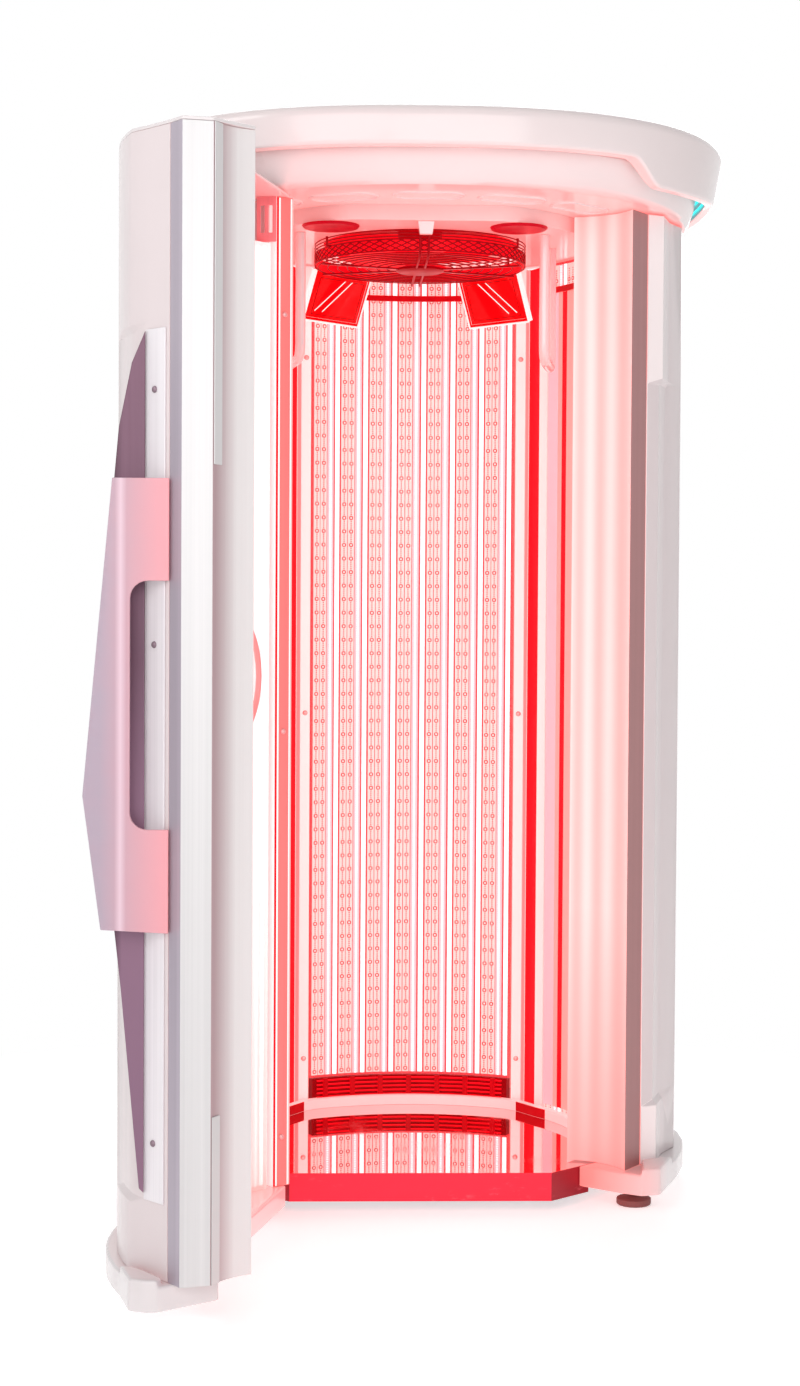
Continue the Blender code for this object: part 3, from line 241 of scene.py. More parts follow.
def glow_on(tree, shader, base, gain, strength):
    """Tint a base colour where the cabin shines on it, and let it give back some of that light."""
    factor = cabin_glow(tree, gain)
    set_inputs(tree, shader, base=blend_colour(tree, factor, base, GLOW_PINK), power=strength,
               glow=blend_colour(tree, factor, NO_LIGHT, GLOW_LIGHT))


def seen_directly(tree):
    """1 for rays from the camera and for those that metal and glass send on, 0 for others."""
    path = add_node(tree, "ShaderNodeLightPath")
    seen = calc(tree, "ADD", path.outputs["Is Camera Ray"], path.outputs["Is Glossy Ray"])
    return calc(tree, "ADD", seen, path.outputs["Is Transmission Ray"], clamp=True)


# Materials

def gloss_white(name="gloss_white", gain=0.80, strength=0.34, shine=0.5, colour=WHITE):
    """Moulded gloss shell: faint mottling, orange-peel and the cabin's pink light."""
    made, tree, shader = new_material(name)
    cloudy = noise(tree, object_place(tree), 3.0, 4.0)
    glow_on(tree, shader, blend_colour(tree, cloudy, colour, dimmed(colour, 0.965)), gain, strength)
    uneven = noise(tree, object_place(tree), 14.0)
    set_inputs(tree, shader, rough=between(tree, uneven, 0.12, 0.24), specular=shine,
               coat=0.7 * shine, coat_rough=0.06)
    bump(tree, shader, noise(tree, object_place(tree), 160.0, 2.0), 0.05, 0.0006)
    return made


def cabin_lit_white():
    """Gloss white casting with the cabin's light painted on: rosy and glowing in front of the cabin, pale
    further out and behind.
    """
    made, tree, shader = new_material("cabin_lit_white")
    place = axes(tree)
    cloudy = noise(tree, object_place(tree), 9.0, 3.0)
    near = ramp(tree, calc(tree, "ABSOLUTE", place["X"]), 0.52, 0.36)
    near = calc(tree, "MULTIPLY", near, ramp(tree, place["Y"], 0.40, 0.12))
    set_inputs(tree, shader, base=blend_colour(tree, near, WHITE, (0.94, 0.24, 0.22)),
               glow=blend_colour(tree, near, NO_LIGHT, (1.0, 0.36, 0.34)), power=0.28,
               rough=between(tree, cloudy, 0.14, 0.24))
    return made


def satin_metal(name, colour, gain, strength=0.30, metallic=0.3):
    """Anodised extrusion: fine upright drawing lines, soft upright bands and the cabin's light."""
    made, tree, shader = new_material(name)
    lines = drawn_lines(tree)
    bands = noise(tree, stretched(tree, (38.0, 38.0, 0.15)), 1.0, 1.0)
    streaks = calc(tree, "ADD", calc(tree, "MULTIPLY", lines, 0.35), calc(tree, "MULTIPLY", bands, 0.65))
    base = blend_colour(tree, ramp(tree, streaks, 0.3, 0.7), dimmed(colour, 0.84), colour)
    glow_on(tree, shader, base, gain, strength)
    set_inputs(tree, shader, metal=metallic, rough=between(tree, lines, 0.34, 0.50))
    bump(tree, shader, lines, 0.06, 0.0004)
    return made


def banded_metal():
    """Painted jamb with painted light: soft upright bands of pale and rosy light, a rosier foot and an even
    pink glow.
    """
    made, tree, shader = new_material("banded_metal")
    place = axes(tree)
    across = calc(tree, "SUBTRACT", calc(tree, "ABSOLUTE", place["X"]), BAND_MIDDLE)
    wave = calc(tree, "COSINE", calc(tree, "MULTIPLY", across, 2 * pi / BAND_PITCH))
    lines = drawn_lines(tree)
    wave = calc(tree, "ADD", wave, calc(tree, "MULTIPLY", calc(tree, "SUBTRACT", lines, 0.5), 0.3))
    shade = blend_colour(tree, ramp(tree, wave, -1.0, 1.0), (0.80, 0.43, 0.41), (0.84, 0.67, 0.65))
    # painted rosy light, stronger towards the foot
    low = calc(tree, "MULTIPLY", ramp(tree, place["Z"], 0.62, 0.08), 0.75)
    set_inputs(tree, shader, base=blend_colour(tree, low, shade, (0.92, 0.22, 0.20)),
               glow=(1.0, 0.62, 0.60), power=0.28, rough=between(tree, lines, 0.34, 0.50))
    return made


def channel_shade_metal(start):
    """Hollow of the door's edge profile with painted shade: rosy grey beside the flat, and paling across its
    width.
    """
    made, tree, shader = new_material("channel_shade_metal")
    lines = drawn_lines(tree)
    across = ramp(tree, axes(tree)["X"], start, start + 0.034)
    uneven = calc(tree, "MULTIPLY", calc(tree, "SUBTRACT", lines, 0.5), 0.15)
    across = calc(tree, "ADD", across, uneven, clamp=True)
    set_inputs(tree, shader, base=blend_colour(tree, across, (0.46, 0.31, 0.33), (0.80, 0.75, 0.75)),
               metal=0.2, rough=between(tree, lines, 0.34, 0.50))
    return made


def brushed_steel():
    made, tree, shader = new_material("brushed_steel")
    lines = noise(tree, stretched(tree, (40.0, 40.0, 600.0)), 1.0, 3.0)
    set_inputs(tree, shader, base=blend_colour(tree, lines, (0.50, 0.50, 0.52), (0.64, 0.64, 0.66)),
               metal=1.0, rough=between(tree, lines, 0.22, 0.4))
    bump(tree, shader, lines, 0.08, 0.0003)
    return made


def polished_floor():
    made, tree, shader = new_material("polished_floor")
    smears = noise(tree, object_place(tree), 7.0, 5.0, 0.6)
    set_inputs(tree, shader, base=blend_colour(tree, smears, (0.92, 0.74, 0.74), (0.86, 0.62, 0.62)),
               metal=1.0, rough=between(tree, ramp(tree, smears, 0.5, 0.75), 0.02, 0.12))
    return made


def crimson_sheet(name, colour, strength):
    """Painted kick plate with faint pale scuffs; its crimson also glows as painted light of the cabin."""
    made, tree, shader = new_material(name)
    cloudy = noise(tree, stretched(tree, (4.0, 4.0, 14.0)), 1.0, 4.0)
    base = blend_colour(tree, cloudy, colour, dimmed(colour, 0.62))
    hairs = noise(tree, stretched(tree, (34.0, 34.0, 90.0)), 1.0, 6.0, 0.7)
    scuffs = noise(tree, stretched(tree, (9.0, 9.0, 16.0)), 1.0, 2.0)
    worn = calc(tree, "MULTIPLY", ramp(tree, hairs, 0.56, 0.70), ramp(tree, scuffs, 0.52, 0.72))
    worn = calc(tree, "MULTIPLY", worn, 0.55)
    shade = blend_colour(tree, worn, base, (0.95, 0.16, 0.20))
    set_inputs(tree, shader, base=shade, glow=shade, power=strength, metal=0.2,
               rough=between(tree, cloudy, 0.28, 0.42))
    bump(tree, shader, worn, 0.2, 0.0003)
    return made


def grained(name, dark, light, scale, detail, rough, depth):
    """Dull moulding with a fine grain; depth is the grain's strength and height."""
    made, tree, shader = new_material(name)
    grain = noise(tree, object_place(tree), scale, detail)
    set_inputs(tree, shader, base=blend_colour(tree, grain, dark, light), rough=between(tree, grain, *rough))
    bump(tree, shader, grain, *depth)
    return made


def dark_rubber(name, dark, light):
    return grained(name, dark, light, 420.0, 3.0, (0.6, 0.85), (0.25, 0.0004))


def black_plastic():
    dark = (0.018, 0.018, 0.020)
    light = (0.045, 0.045, 0.048)
    return grained("black_plastic", dark, light, 300.0, 2.0, (0.38, 0.55), (0.15, 0.0003))


def red_coated(name="red_coated", colour=DEEP_RED, glow=0.25):
    """Coated metal under the cabin's red light, which makes it look red by itself."""
    made, tree, shader = new_material(name)
    cloudy = noise(tree, object_place(tree), 26.0, 3.0)
    shade = blend_colour(tree, cloudy, colour, dimmed(colour, 0.6))
    set_inputs(tree, shader, base=shade, glow=shade, power=glow, specular=0.08,
               rough=between(tree, cloudy, 0.25, 0.42))
    return made


def face_glass():
    """Glossy red glass of the face lamps, lit from behind."""
    made, tree, shader = new_material("face_glass")
    cloudy = noise(tree, object_place(tree), 12.0, 2.0)
    shade = blend_colour(tree, cloudy, (0.86, 0.002, 0.004), (0.62, 0.001, 0.003))
    set_inputs(tree, shader, base=shade, glow=shade, power=0.6, specular=0.10, rough=0.05)
    return made


def clear_acrylic(name, cover, glow=0.0):
    """Cover sheet: how much of what lies behind it it hides, and how much light it gives itself."""
    made, tree, shader = new_material(name)
    cloudy = noise(tree, object_place(tree), 5.0, 2.0)
    foot = ramp(tree, axes(tree)["Z"], 0.75, 0.10)
    set_inputs(tree, shader, base=blend_colour(tree, cloudy, (1.0, 0.80, 0.79), (1.0, 0.86, 0.85)),
               rough=between(tree, cloudy, 0.04, 0.10), cover=cover, power=glow,
               glow=blend_colour(tree, foot, (1.0, 0.80, 0.79), (1.0, 0.26, 0.22)))
    return made


def lit(name, colour, strength):
    """A surface that shines by itself, with a faint unevenness along its height."""
    made, tree, shader = new_material(name)
    uneven = noise(tree, stretched(tree, (30.0, 30.0, 4.0)), 1.0, 2.0)
    shade = blend_colour(tree, uneven, colour, dimmed(colour, 0.94))
    set_inputs(tree, shader, base=shade, glow=shade, power=strength, rough=0.4)
    return made


def rose_acrylic():
    """Frosted grip plate: rosy beside the door, lilac-grey towards its outer edge, and a painted highlight
    along a fold between.
    """
    low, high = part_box("door_handle")
    width = high.x - low.x
    made, tree, shader = new_material("rose_acrylic")
    x = axes(tree)["X"]
    cloudy = noise(tree, object_place(tree), 16.0, 4.0)
    lilac = blend_colour(tree, cloudy, (0.50, 0.36, 0.44), (0.45, 0.38, 0.46))
    plain = blend_colour(tree, ramp(tree, x, low.x + 0.2 * width, high.x), lilac, (0.90, 0.38, 0.42))
    # painted highlight along the fold
    fold = calc(tree, "ABSOLUTE", calc(tree, "SUBTRACT", x, low.x + 0.44 * width))
    set_inputs(tree, shader, rough=between(tree, cloudy, 0.36, 0.48),
               base=blend_colour(tree, ramp(tree, fold, 0.010, 0.0), plain, (0.80, 0.58, 0.66)))
    shader.inputs["Subsurface Weight"].default_value = 0.15
    shader.inputs["Subsurface Radius"].default_value = (0.010, 0.006, 0.006)
    bump(tree, shader, noise(tree, object_place(tree), 380.0, 2.0), 0.06, 0.0003)
    return made


def mauve_sheet():
    """Handle fin: darker above and towards its outer edge."""
    low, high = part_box("handle_fin")
    width = high.x - low.x
    height = high.z - low.z
    made, tree, shader = new_material("mauve_sheet")
    place = axes(tree)
    lines = noise(tree, stretched(tree, (120.0, 120.0, 1.5)), 1.0, 3.0)
    outer = ramp(tree, place["X"], low.x + 0.3 * width, low.x)
    lower = ramp(tree, place["Z"], low.z + 0.62 * height, low.z + 0.45 * height)
    upper = blend_colour(tree, lines, (0.125, 0.055, 0.088), (0.17, 0.085, 0.125))
    streaky = blend_colour(tree, lower, upper, (0.26, 0.14, 0.21))
    set_inputs(tree, shader, base=blend_colour(tree, outer, streaky, (0.06, 0.02, 0.038)), metal=0.4,
               rough=between(tree, lines, 0.3, 0.42))
    return made


def studio_floor():
    """Pale floor that fades into the white backdrop away from the booth."""
    made, tree, shader = new_material("studio_floor")
    set_inputs(tree, shader, base=(0.90, 0.90, 0.90), glow=(1.0, 1.0, 1.0), power=0.42, rough=0.9)
    away = vector_calc(tree, "LENGTH", stretched(tree, (1.0, 1.0, 0.0)))
    white = add_node(tree, "ShaderNodeEmission")
    mix = add_node(tree, "ShaderNodeMixShader")
    feed(tree, mix.inputs[0], calc(tree, "MULTIPLY", seen_directly(tree), ramp(tree, away, 0.8, 2.0)))
    tree.links.new(shader.outputs[0], mix.inputs[1])
    tree.links.new(white.outputs[0], mix.inputs[2])
    tree.links.new(mix.outputs[0], tree.nodes["Material Output"].inputs["Surface"])
    return made


# Stage

STAGE_HALF = 14.0
STAGE_MIDDLE = (0.0, -0.2, 1.1)
WORLD_LIGHT = 0.40       # world's strength on the object; the camera sees it as white

# Name, place, aim, width and watts of each lamp
LAMPS = (
    ("key_lamp", (-1.9, -4.9, 2.8), STAGE_MIDDLE, 3.0, 55.0),
    ("fill_lamp", (0.9, -5.3, 2.3), STAGE_MIDDLE, 3.0, 57.0),
    ("door_lamp", (-2.4, -1.2, 3.4), (-0.45, -0.6, 1.7), 1.2, 14.0),
    ("rear_lamp", (0.5, 3.8, 3.4), STAGE_MIDDLE, 3.0, 70.0),
)


def linked(name, data):
    made = bpy.data.objects.new(name, data)
    bpy.context.scene.collection.objects.link(made)
    return made


def add_camera():
    data = bpy.data.cameras.new("photo_camera")
    data.sensor_width = SENSOR
    data.lens = CAMERA_LENS
    camera = linked("photo_camera", data)
    turn = Matrix.Rotation(-radians(CAMERA_YAW), 4, "Z")
    turn = turn @ Matrix.Rotation(radians(90 - CAMERA_PITCH), 4, "X")
    turn = turn @ Matrix.Rotation(radians(CAMERA_ROLL), 4, "Z")
    camera.matrix_world = Matrix.Translation(CAMERA_PLACE) @ turn
    bpy.context.scene.camera = camera


def add_lamp(name, place, target, size, energy):
    data = bpy.data.lights.new(name, "AREA")
    data.shape = "DISK"
    data.size = size
    data.energy = energy
    lamp = linked(name, data)
    lamp.location = place
    lamp.rotation_euler = (Vector(target) - Vector(place)).to_track_quat("-Z", "Y").to_euler()


def add_world():
    world = bpy.data.worlds.new("studio")
    bpy.context.scene.world = world
    world.use_nodes = True
    tree = world.node_tree
    background = tree.nodes["Background"]
    feed(tree, background.inputs["Color"], (1.0, 1.0, 1.0))
    feed(tree, background.inputs["Strength"], between(tree, seen_directly(tree), WORLD_LIGHT, 1.0))


def add_stage():
    bm = bmesh.new()
    ends = ((-1, -1), (1, -1), (1, 1), (-1, 1))
    bm.faces.new([bm.verts.new((x * STAGE_HALF, y * STAGE_HALF, 0.0)) for x, y in ends])
    mesh_object("studio_floor", bm, studio_floor())
    for lamp in LAMPS:
        add_lamp(*lamp)
    add_world()
    bpy.context.scene.view_settings.view_transform = "Standard"


# Mesh helpers

JOIN_DISTANCE = 1e-5
FLAT_ANGLE = 0.6         # degrees up to which a CAD node's triangles count as one face
EDGE_ROUND = 0.0012
EDGE_ANGLE = 28.0
MOULD_GRAIN = 0.0025
MOULD_ROUNDS = 9


def mesh_object(name, bm, material):
    mesh = bpy.data.meshes.new(name)
    bm.to_mesh(mesh)
    bm.free()
    mesh.materials.append(material)
    return linked(name, mesh)


def outward(bm):
    """Turn the faces of a new shape outwards."""
    bmesh.ops.recalc_face_normals(bm, faces=bm.faces)
    return bm


def smooth(obj, angle=35.0):
    obj.data.shade_smooth()
    obj.data.set_sharp_from_angle(angle=radians(angle))
    return obj


def solid(name, bm, material):
    """An object of a new closed shape, smooth along its round stretches."""
    return smooth(mesh_object(name, outward(bm), material))


def joined(node):
    """A CAD node's mesh with its loose triangles joined into whole faces."""
    bm = bmesh.new()
    bm.from_mesh(NODES[node].data)
    bmesh.ops.remove_doubles(bm, verts=bm.verts, dist=JOIN_DISTANCE)
    bmesh.ops.dissolve_limit(bm, angle_limit=radians(FLAT_ANGLE), verts=bm.verts, edges=bm.edges)
    return bm


def settle(obj):
    """Apply every modifier, so that a plain mesh is left."""
    bpy.context.view_layer.update()
    depsgraph = bpy.context.evaluated_depsgraph_get()
    mesh = bpy.data.meshes.new_from_object(obj.evaluated_get(depsgraph), depsgraph=depsgraph)
    obj.modifiers.clear()
    obj.data = mesh
    return obj


def added(obj, node):
    """A piece that a CAD node carries and that has no node of its own."""
    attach(obj, NODES[node]["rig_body"])
    return obj


def stands_for(obj, node):
    """A piece that is shown in place of a CAD node."""
    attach(obj, NODES[node]["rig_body"])
    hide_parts(node)
    return obj


def softened(node, material, width=EDGE_ROUND, segments=2):
    """A copy of a CAD node with its edges rounded over."""
    made = mesh_object(node + "_look", joined(node), material)
    rounding = made.modifiers.new("rounding", "BEVEL")
    rounding.width = width
    rounding.segments = segments
    rounding.limit_method = "ANGLE"
    rounding.angle_limit = radians(EDGE_ANGLE)
    smooth(settle(made))
    flatness = made.modifiers.new("flatness", "WEIGHTED_NORMAL")
    flatness.keep_sharp = True
    return stands_for(settle(made), node)


def moulded(node, material):
    """A copy of a CAD node with all its edges melted round, as on a moulded casting."""
    made = linked(node + "_look", NODES[node].data.copy())
    made.data.materials.clear()
    made.data.materials.append(material)
    evened = made.modifiers.new("evened", "REMESH")
    evened.mode = "VOXEL"
    evened.voxel_size = MOULD_GRAIN
    melted = made.modifiers.new("melted", "SMOOTH")
    melted.factor = 0.5
    melted.iterations = MOULD_ROUNDS
    settle(made)
    made.data.shade_smooth()
    return stands_for(made, node)


def paint_faces(obj, material, chosen):
    """Give the faces that a test picks, by normal and middle, another material."""
    obj.data.materials.append(material)
    index = len(obj.data.materials) - 1
    for face in obj.data.polygons:
        if chosen(face.normal, face.center):
            face.material_index = index
    return obj


def dress(node, material):
    """Give a CAD node that keeps its own mesh a finish."""
    mesh = NODES[node].data
    mesh.materials.clear()
    mesh.materials.append(material)


# Geometry node trees

WIRE_SIDES = 6


def geometry_tree(name, inputs):
    tree = bpy.data.node_groups.new(name, "GeometryNodeTree")
    for label, kind in inputs:
        tree.interface.new_socket(label, in_out="INPUT", socket_type="NodeSocket" + kind)
    tree.interface.new_socket("Geometry", in_out="OUTPUT", socket_type="NodeSocketGeometry")
    return tree, tree.nodes.new("NodeGroupInput"), tree.nodes.new("NodeGroupOutput")


def copies_on(tree, given, points, rotation):
    """Copies of the given shape on points."""
    shape = add_node(tree, "GeometryNodeObjectInfo")
    feed(tree, shape.inputs["Object"], given.outputs["Shape"])
    copies = add_node(tree, "GeometryNodeInstanceOnPoints")
    feed(tree, copies.inputs["Points"], points)
    feed(tree, copies.inputs["Instance"], shape.outputs["Geometry"])
    feed(tree, copies.inputs["Rotation"], rotation)
    return copies.outputs[0]


def finish_tree(tree, given, out, geometry):
    """Every tree ends by making its copies real and giving them their material."""
    real = add_node(tree, "GeometryNodeRealizeInstances")
    feed(tree, real.inputs["Geometry"], geometry)
    painted = add_node(tree, "GeometryNodeSetMaterial")
    feed(tree, painted.inputs["Geometry"], real.outputs["Geometry"])
    feed(tree, painted.inputs["Material"], given.outputs["Material"])
    tree.links.new(painted.outputs["Geometry"], out.inputs["Geometry"])
    return tree


def turned_copies_tree():
    """Copies of a shape turned about an upright axis in columns, and stacked in rows."""
    inputs = (("Shape", "Object"), ("Centre", "Vector"), ("Columns", "Int"), ("First Turn", "Float"),
              ("Turn", "Float"), ("Rows", "Int"), ("Rise", "Float"), ("Material", "Material"))
    tree, given, out = geometry_tree("turned_copies", inputs)
    columns = given.outputs["Columns"]
    index = add_node(tree, "GeometryNodeInputIndex").outputs[0]
    row = calc(tree, "FLOOR", calc(tree, "DIVIDE", index, columns))
    turn = calc(tree, "MULTIPLY", calc(tree, "MODULO", index, columns), given.outputs["Turn"])
    turn = calc(tree, "ADD", turn, given.outputs["First Turn"])
    lift = add_node(tree, "ShaderNodeCombineXYZ")
    feed(tree, lift.inputs["Z"], calc(tree, "MULTIPLY", row, given.outputs["Rise"]))
    points = add_node(tree, "GeometryNodePoints")
    feed(tree, points.inputs["Count"], calc(tree, "MULTIPLY", columns, given.outputs["Rows"]))
    feed(tree, points.inputs["Position"], vector_calc(tree, "ADD", given.outputs["Centre"], lift.outputs[0]))
    angles = add_node(tree, "ShaderNodeCombineXYZ")
    feed(tree, angles.inputs["Z"], turn)
    rotation = add_node(tree, "FunctionNodeEulerToRotation")
    feed(tree, rotation.inputs[0], angles.outputs[0])
    return finish_tree(tree, given, out, copies_on(tree, given, points.outputs[0], rotation.outputs[0]))


def wires_tree():
    """A round wire along every run of edges."""
    inputs = (("Runs", "Geometry"), ("Radius", "Float"), ("Material", "Material"))
    tree, given, out = geometry_tree("wires", inputs)
    curve = add_node(tree, "GeometryNodeMeshToCurve")
    feed(tree, curve.inputs["Mesh"], given.outputs["Runs"])
    ring = add_node(tree, "GeometryNodeCurvePrimitiveCircle")
    ring.inputs["Resolution"].default_value = WIRE_SIDES
    feed(tree, ring.inputs["Radius"], given.outputs["Radius"])
    wire = add_node(tree, "GeometryNodeCurveToMesh")
    wire.inputs["Fill Caps"].default_value = True
    feed(tree, wire.inputs["Curve"], curve.outputs[0])
    feed(tree, wire.inputs["Profile Curve"], ring.outputs[0])
    return finish_tree(tree, given, out, wire.outputs[0])


def placed_copies_tree():
    """Copies of a shape on given points, turned the way each point faces."""
    inputs = (("Spots", "Geometry"), ("Shape", "Object"), ("Material", "Material"))
    tree, given, out = geometry_tree("placed_copies", inputs)
    facing = add_node(tree, "GeometryNodeInputNamedAttribute", data_type="FLOAT_VECTOR")
    facing.inputs["Name"].default_value = "facing"
    turn = add_node(tree, "FunctionNodeAlignRotationToVector", axis="Z")
    feed(tree, turn.inputs["Vector"], facing.outputs["Attribute"])
    copies = copies_on(tree, given, given.outputs["Spots"], turn.outputs["Rotation"])
    return finish_tree(tree, given, out, copies)


TURNED_COPIES = turned_copies_tree()
WIRES = wires_tree()
PLACED_COPIES = placed_copies_tree()


def grow(name, tree, values, mesh=None, angle=35.0):
    """Run a geometry node tree and keep what it makes as a plain mesh."""
    made = linked(name, mesh or bpy.data.meshes.new(name))
    modifier = made.modifiers.new(name, "NODES")
    modifier.node_group = tree
    for socket in tree.interface.items_tree:
        if socket.in_out == "INPUT" and socket.name in values:
            modifier[socket.identifier] = values[socket.name]
    return smooth(settle(made), angle)


def grow_copies(name, tree, bm, material, values, mesh=None):
    """Grow copies of a small shape, and drop the shape itself."""
    shape = mesh_object(name + "_shape", outward(bm), material)
    made = grow(name, tree, {"Shape": shape, "Material": material, **values}, mesh)
    bpy.data.objects.remove(shape, do_unlink=True)
    return made


def wires(name, runs, radius, material):
    """Wires along runs of points; each run is a list of points and whether it closes."""
    bm = bmesh.new()
    for points, closed in runs:
        corners = [bm.verts.new(point) for point in points]
        for first, second in zip(corners, corners[1:]):
            bm.edges.new((first, second))
        if closed:
            bm.edges.new((corners[-1], corners[0]))
    mesh = bpy.data.meshes.new(name)
    bm.to_mesh(mesh)
    bm.free()
    return grow(name, WIRES, {"Radius": radius, "Material": material}, mesh, 50.0)


def placed(name, spots, bm, material):
    """Copies of a small shape; each spot is a point and the way the shape faces."""
    mesh = bpy.data.meshes.new(name)
    mesh.from_pydata([point for point, way in spots], [], [])
    facing = mesh.attributes.new("facing", "FLOAT_VECTOR", "POINT")
    for i, (point, way) in enumerate(spots):
        facing.data[i].vector = way
    return grow_copies(name, PLACED_COPIES, bm, material, {}, mesh)


# Shapes

SEAT_GAP = 0.0003        # room between a strip or bar and the sheet that it lies on


def spun(x, y, z, turn):
    """A point turned about Z by an angle in radians."""
    return (x * cos(turn) - y * sin(turn), x * sin(turn) + y * cos(turn), z)


def add_box(bm, low, high, turn=0.0):
    """A box between two corners, turned about Z by an angle in radians."""
    corners = []
    for x in (low[0], high[0]):
        for y in (low[1], high[1]):
            for z in (low[2], high[2]):
                corners.append(bm.verts.new(spun(x, y, z, turn)))
    sides = ((0, 1, 3, 2), (4, 6, 7, 5), (0, 4, 5, 1), (2, 3, 7, 6), (0, 2, 6, 4), (1, 5, 7, 3))
    for side in sides:
        bm.faces.new([corners[i] for i in side])


def add_skin(bm, rows):
    """Faces between neighbouring closed rows of points; gives the rows of vertices."""
    loops = [[bm.verts.new(point) for point in row] for row in rows]
    for low, high in zip(loops, loops[1:]):
        join_loops(bm, low, high)
    return loops


def join_loops(bm, low, high):
    for i in range(len(low)):
        j = (i + 1) % len(low)
        bm.faces.new((low[i], low[j], high[j], high[i]))


def add_capped(bm, rows):
    """Solid through closed rows of points, with flat ends."""
    loops = add_skin(bm, rows)
    bm.faces.new(loops[0][::-1])
    bm.faces.new(loops[-1])


def add_closed_loft(bm, rows):
    """Ring-shaped skin through closed rows of points, the last row joined to the first."""
    loops = add_skin(bm, rows)
    join_loops(bm, loops[-1], loops[0])


def add_prism(bm, outline, bottom, top):
    """Closed prism over a plan outline."""
    add_capped(bm, [[(x, y, z) for x, y in outline] for z in (bottom, top)])


def circle_points(centre, radius, height, steps):
    turns = [2 * pi * i / steps for i in range(steps)]
    return [(centre[0] + radius * cos(t), centre[1] + radius * sin(t), height) for t in turns]


def add_turned(bm, profile, steps):
    """Solid turned about Z from a profile of (radius, height) from bottom to top."""
    add_capped(bm, [circle_points((0.0, 0.0), radius, height, steps) for radius, height in profile])


def fit_circle(points):
    """Centre of the circle nearest to plan points, by least squares."""
    mean = sum(points, Vector((0.0, 0.0))) / len(points)
    offsets = [point - mean for point in points]
    uu = sum(p.x * p.x for p in offsets)
    uv = sum(p.x * p.y for p in offsets)
    vv = sum(p.y * p.y for p in offsets)
    u_pull = sum(p.x * (p.x * p.x + p.y * p.y) for p in offsets) / 2
    v_pull = sum(p.y * (p.x * p.x + p.y * p.y) for p in offsets) / 2
    spread = uu * vv - uv * uv
    return mean + Vector(((u_pull * vv - v_pull * uv) / spread, (v_pull * uu - u_pull * uv) / spread))


def arc_of(node):
    """Centre, inner radius, middle direction and half angle of a wall bent round an upright axis."""
    points = [vertex.co.xy for vertex in NODES[node].data.vertices]
    centre = fit_circle(points)
    for narrowing in range(3):
        distances = [(point - centre).length for point in points]
        middle = (min(distances) + max(distances)) / 2
        centre = fit_circle([p for p, d in zip(points, distances) if d < middle])
    inner = min((point - centre).length for point in points)
    mean = sum(points, Vector((0.0, 0.0))) / len(points) - centre
    turns = [mean.angle_signed(point - centre) for point in points]
    return centre, inner, atan2(mean.y, mean.x), max(abs(t) for t in turns)


ARC_STEPS = 24


def add_arc_bar(bm, centre, radius, depth, middle, half, bottom, top):
    """Bar along an arc, standing from a radius towards the arc's centre."""
    outline = []
    for reach, order in ((radius, 1), (radius - depth, -1)):
        for i in range(ARC_STEPS + 1)[::order]:
            t = middle - half + 2 * half * i / ARC_STEPS
            outline.append((centre.x + reach * cos(t), centre.y + reach * sin(t)))
    add_prism(bm, outline, bottom, top)


# Lit walls

BOARD_PITCH = 0.0163
BOARD_GAP = 0.0019       # dark line between boards
BOARD_SHEET = 0.0016
BOARD_SEAT = 0.0002
TUBE_WIDTH = 0.0110
TUBE_DEPTH = 0.0032
CHIP_PITCH = 0.0053
CHIP = (0.0007, 0.0050, 0.0034)  # depth, width and height
CLUSTER_PITCH = 0.0317
CLUSTER_DEPTH = 0.0006
RING_R = 0.0040
RING_BAND = 0.0025
RING_SIDES = 8
DOT = 0.0027
DOT_LIFTS = (0.26, 0.42, 0.58, 0.74)  # dots between two rings, in shares of their pitch
WALL_MARGIN = 0.006
TUBE_PLACE, CHIP_PLACE, *CLUSTER_PLACES = range(4)  # places of the boards in a group


def add_ring(bm, offset, turn):
    """Low ring that faces the wall's axis; offset is its radius from that axis."""
    outer = RING_R + RING_BAND / 2
    inner = RING_R - RING_BAND / 2
    rows = []
    for reach, lift in ((outer, 0.0), (outer, CLUSTER_DEPTH), (inner, CLUSTER_DEPTH)):
        turns = [2 * pi * (i + 0.5) / RING_SIDES for i in range(RING_SIDES)]
        rows.append([spun(offset - lift, reach * cos(t), reach * sin(t), turn) for t in turns])
    add_skin(bm, rows)


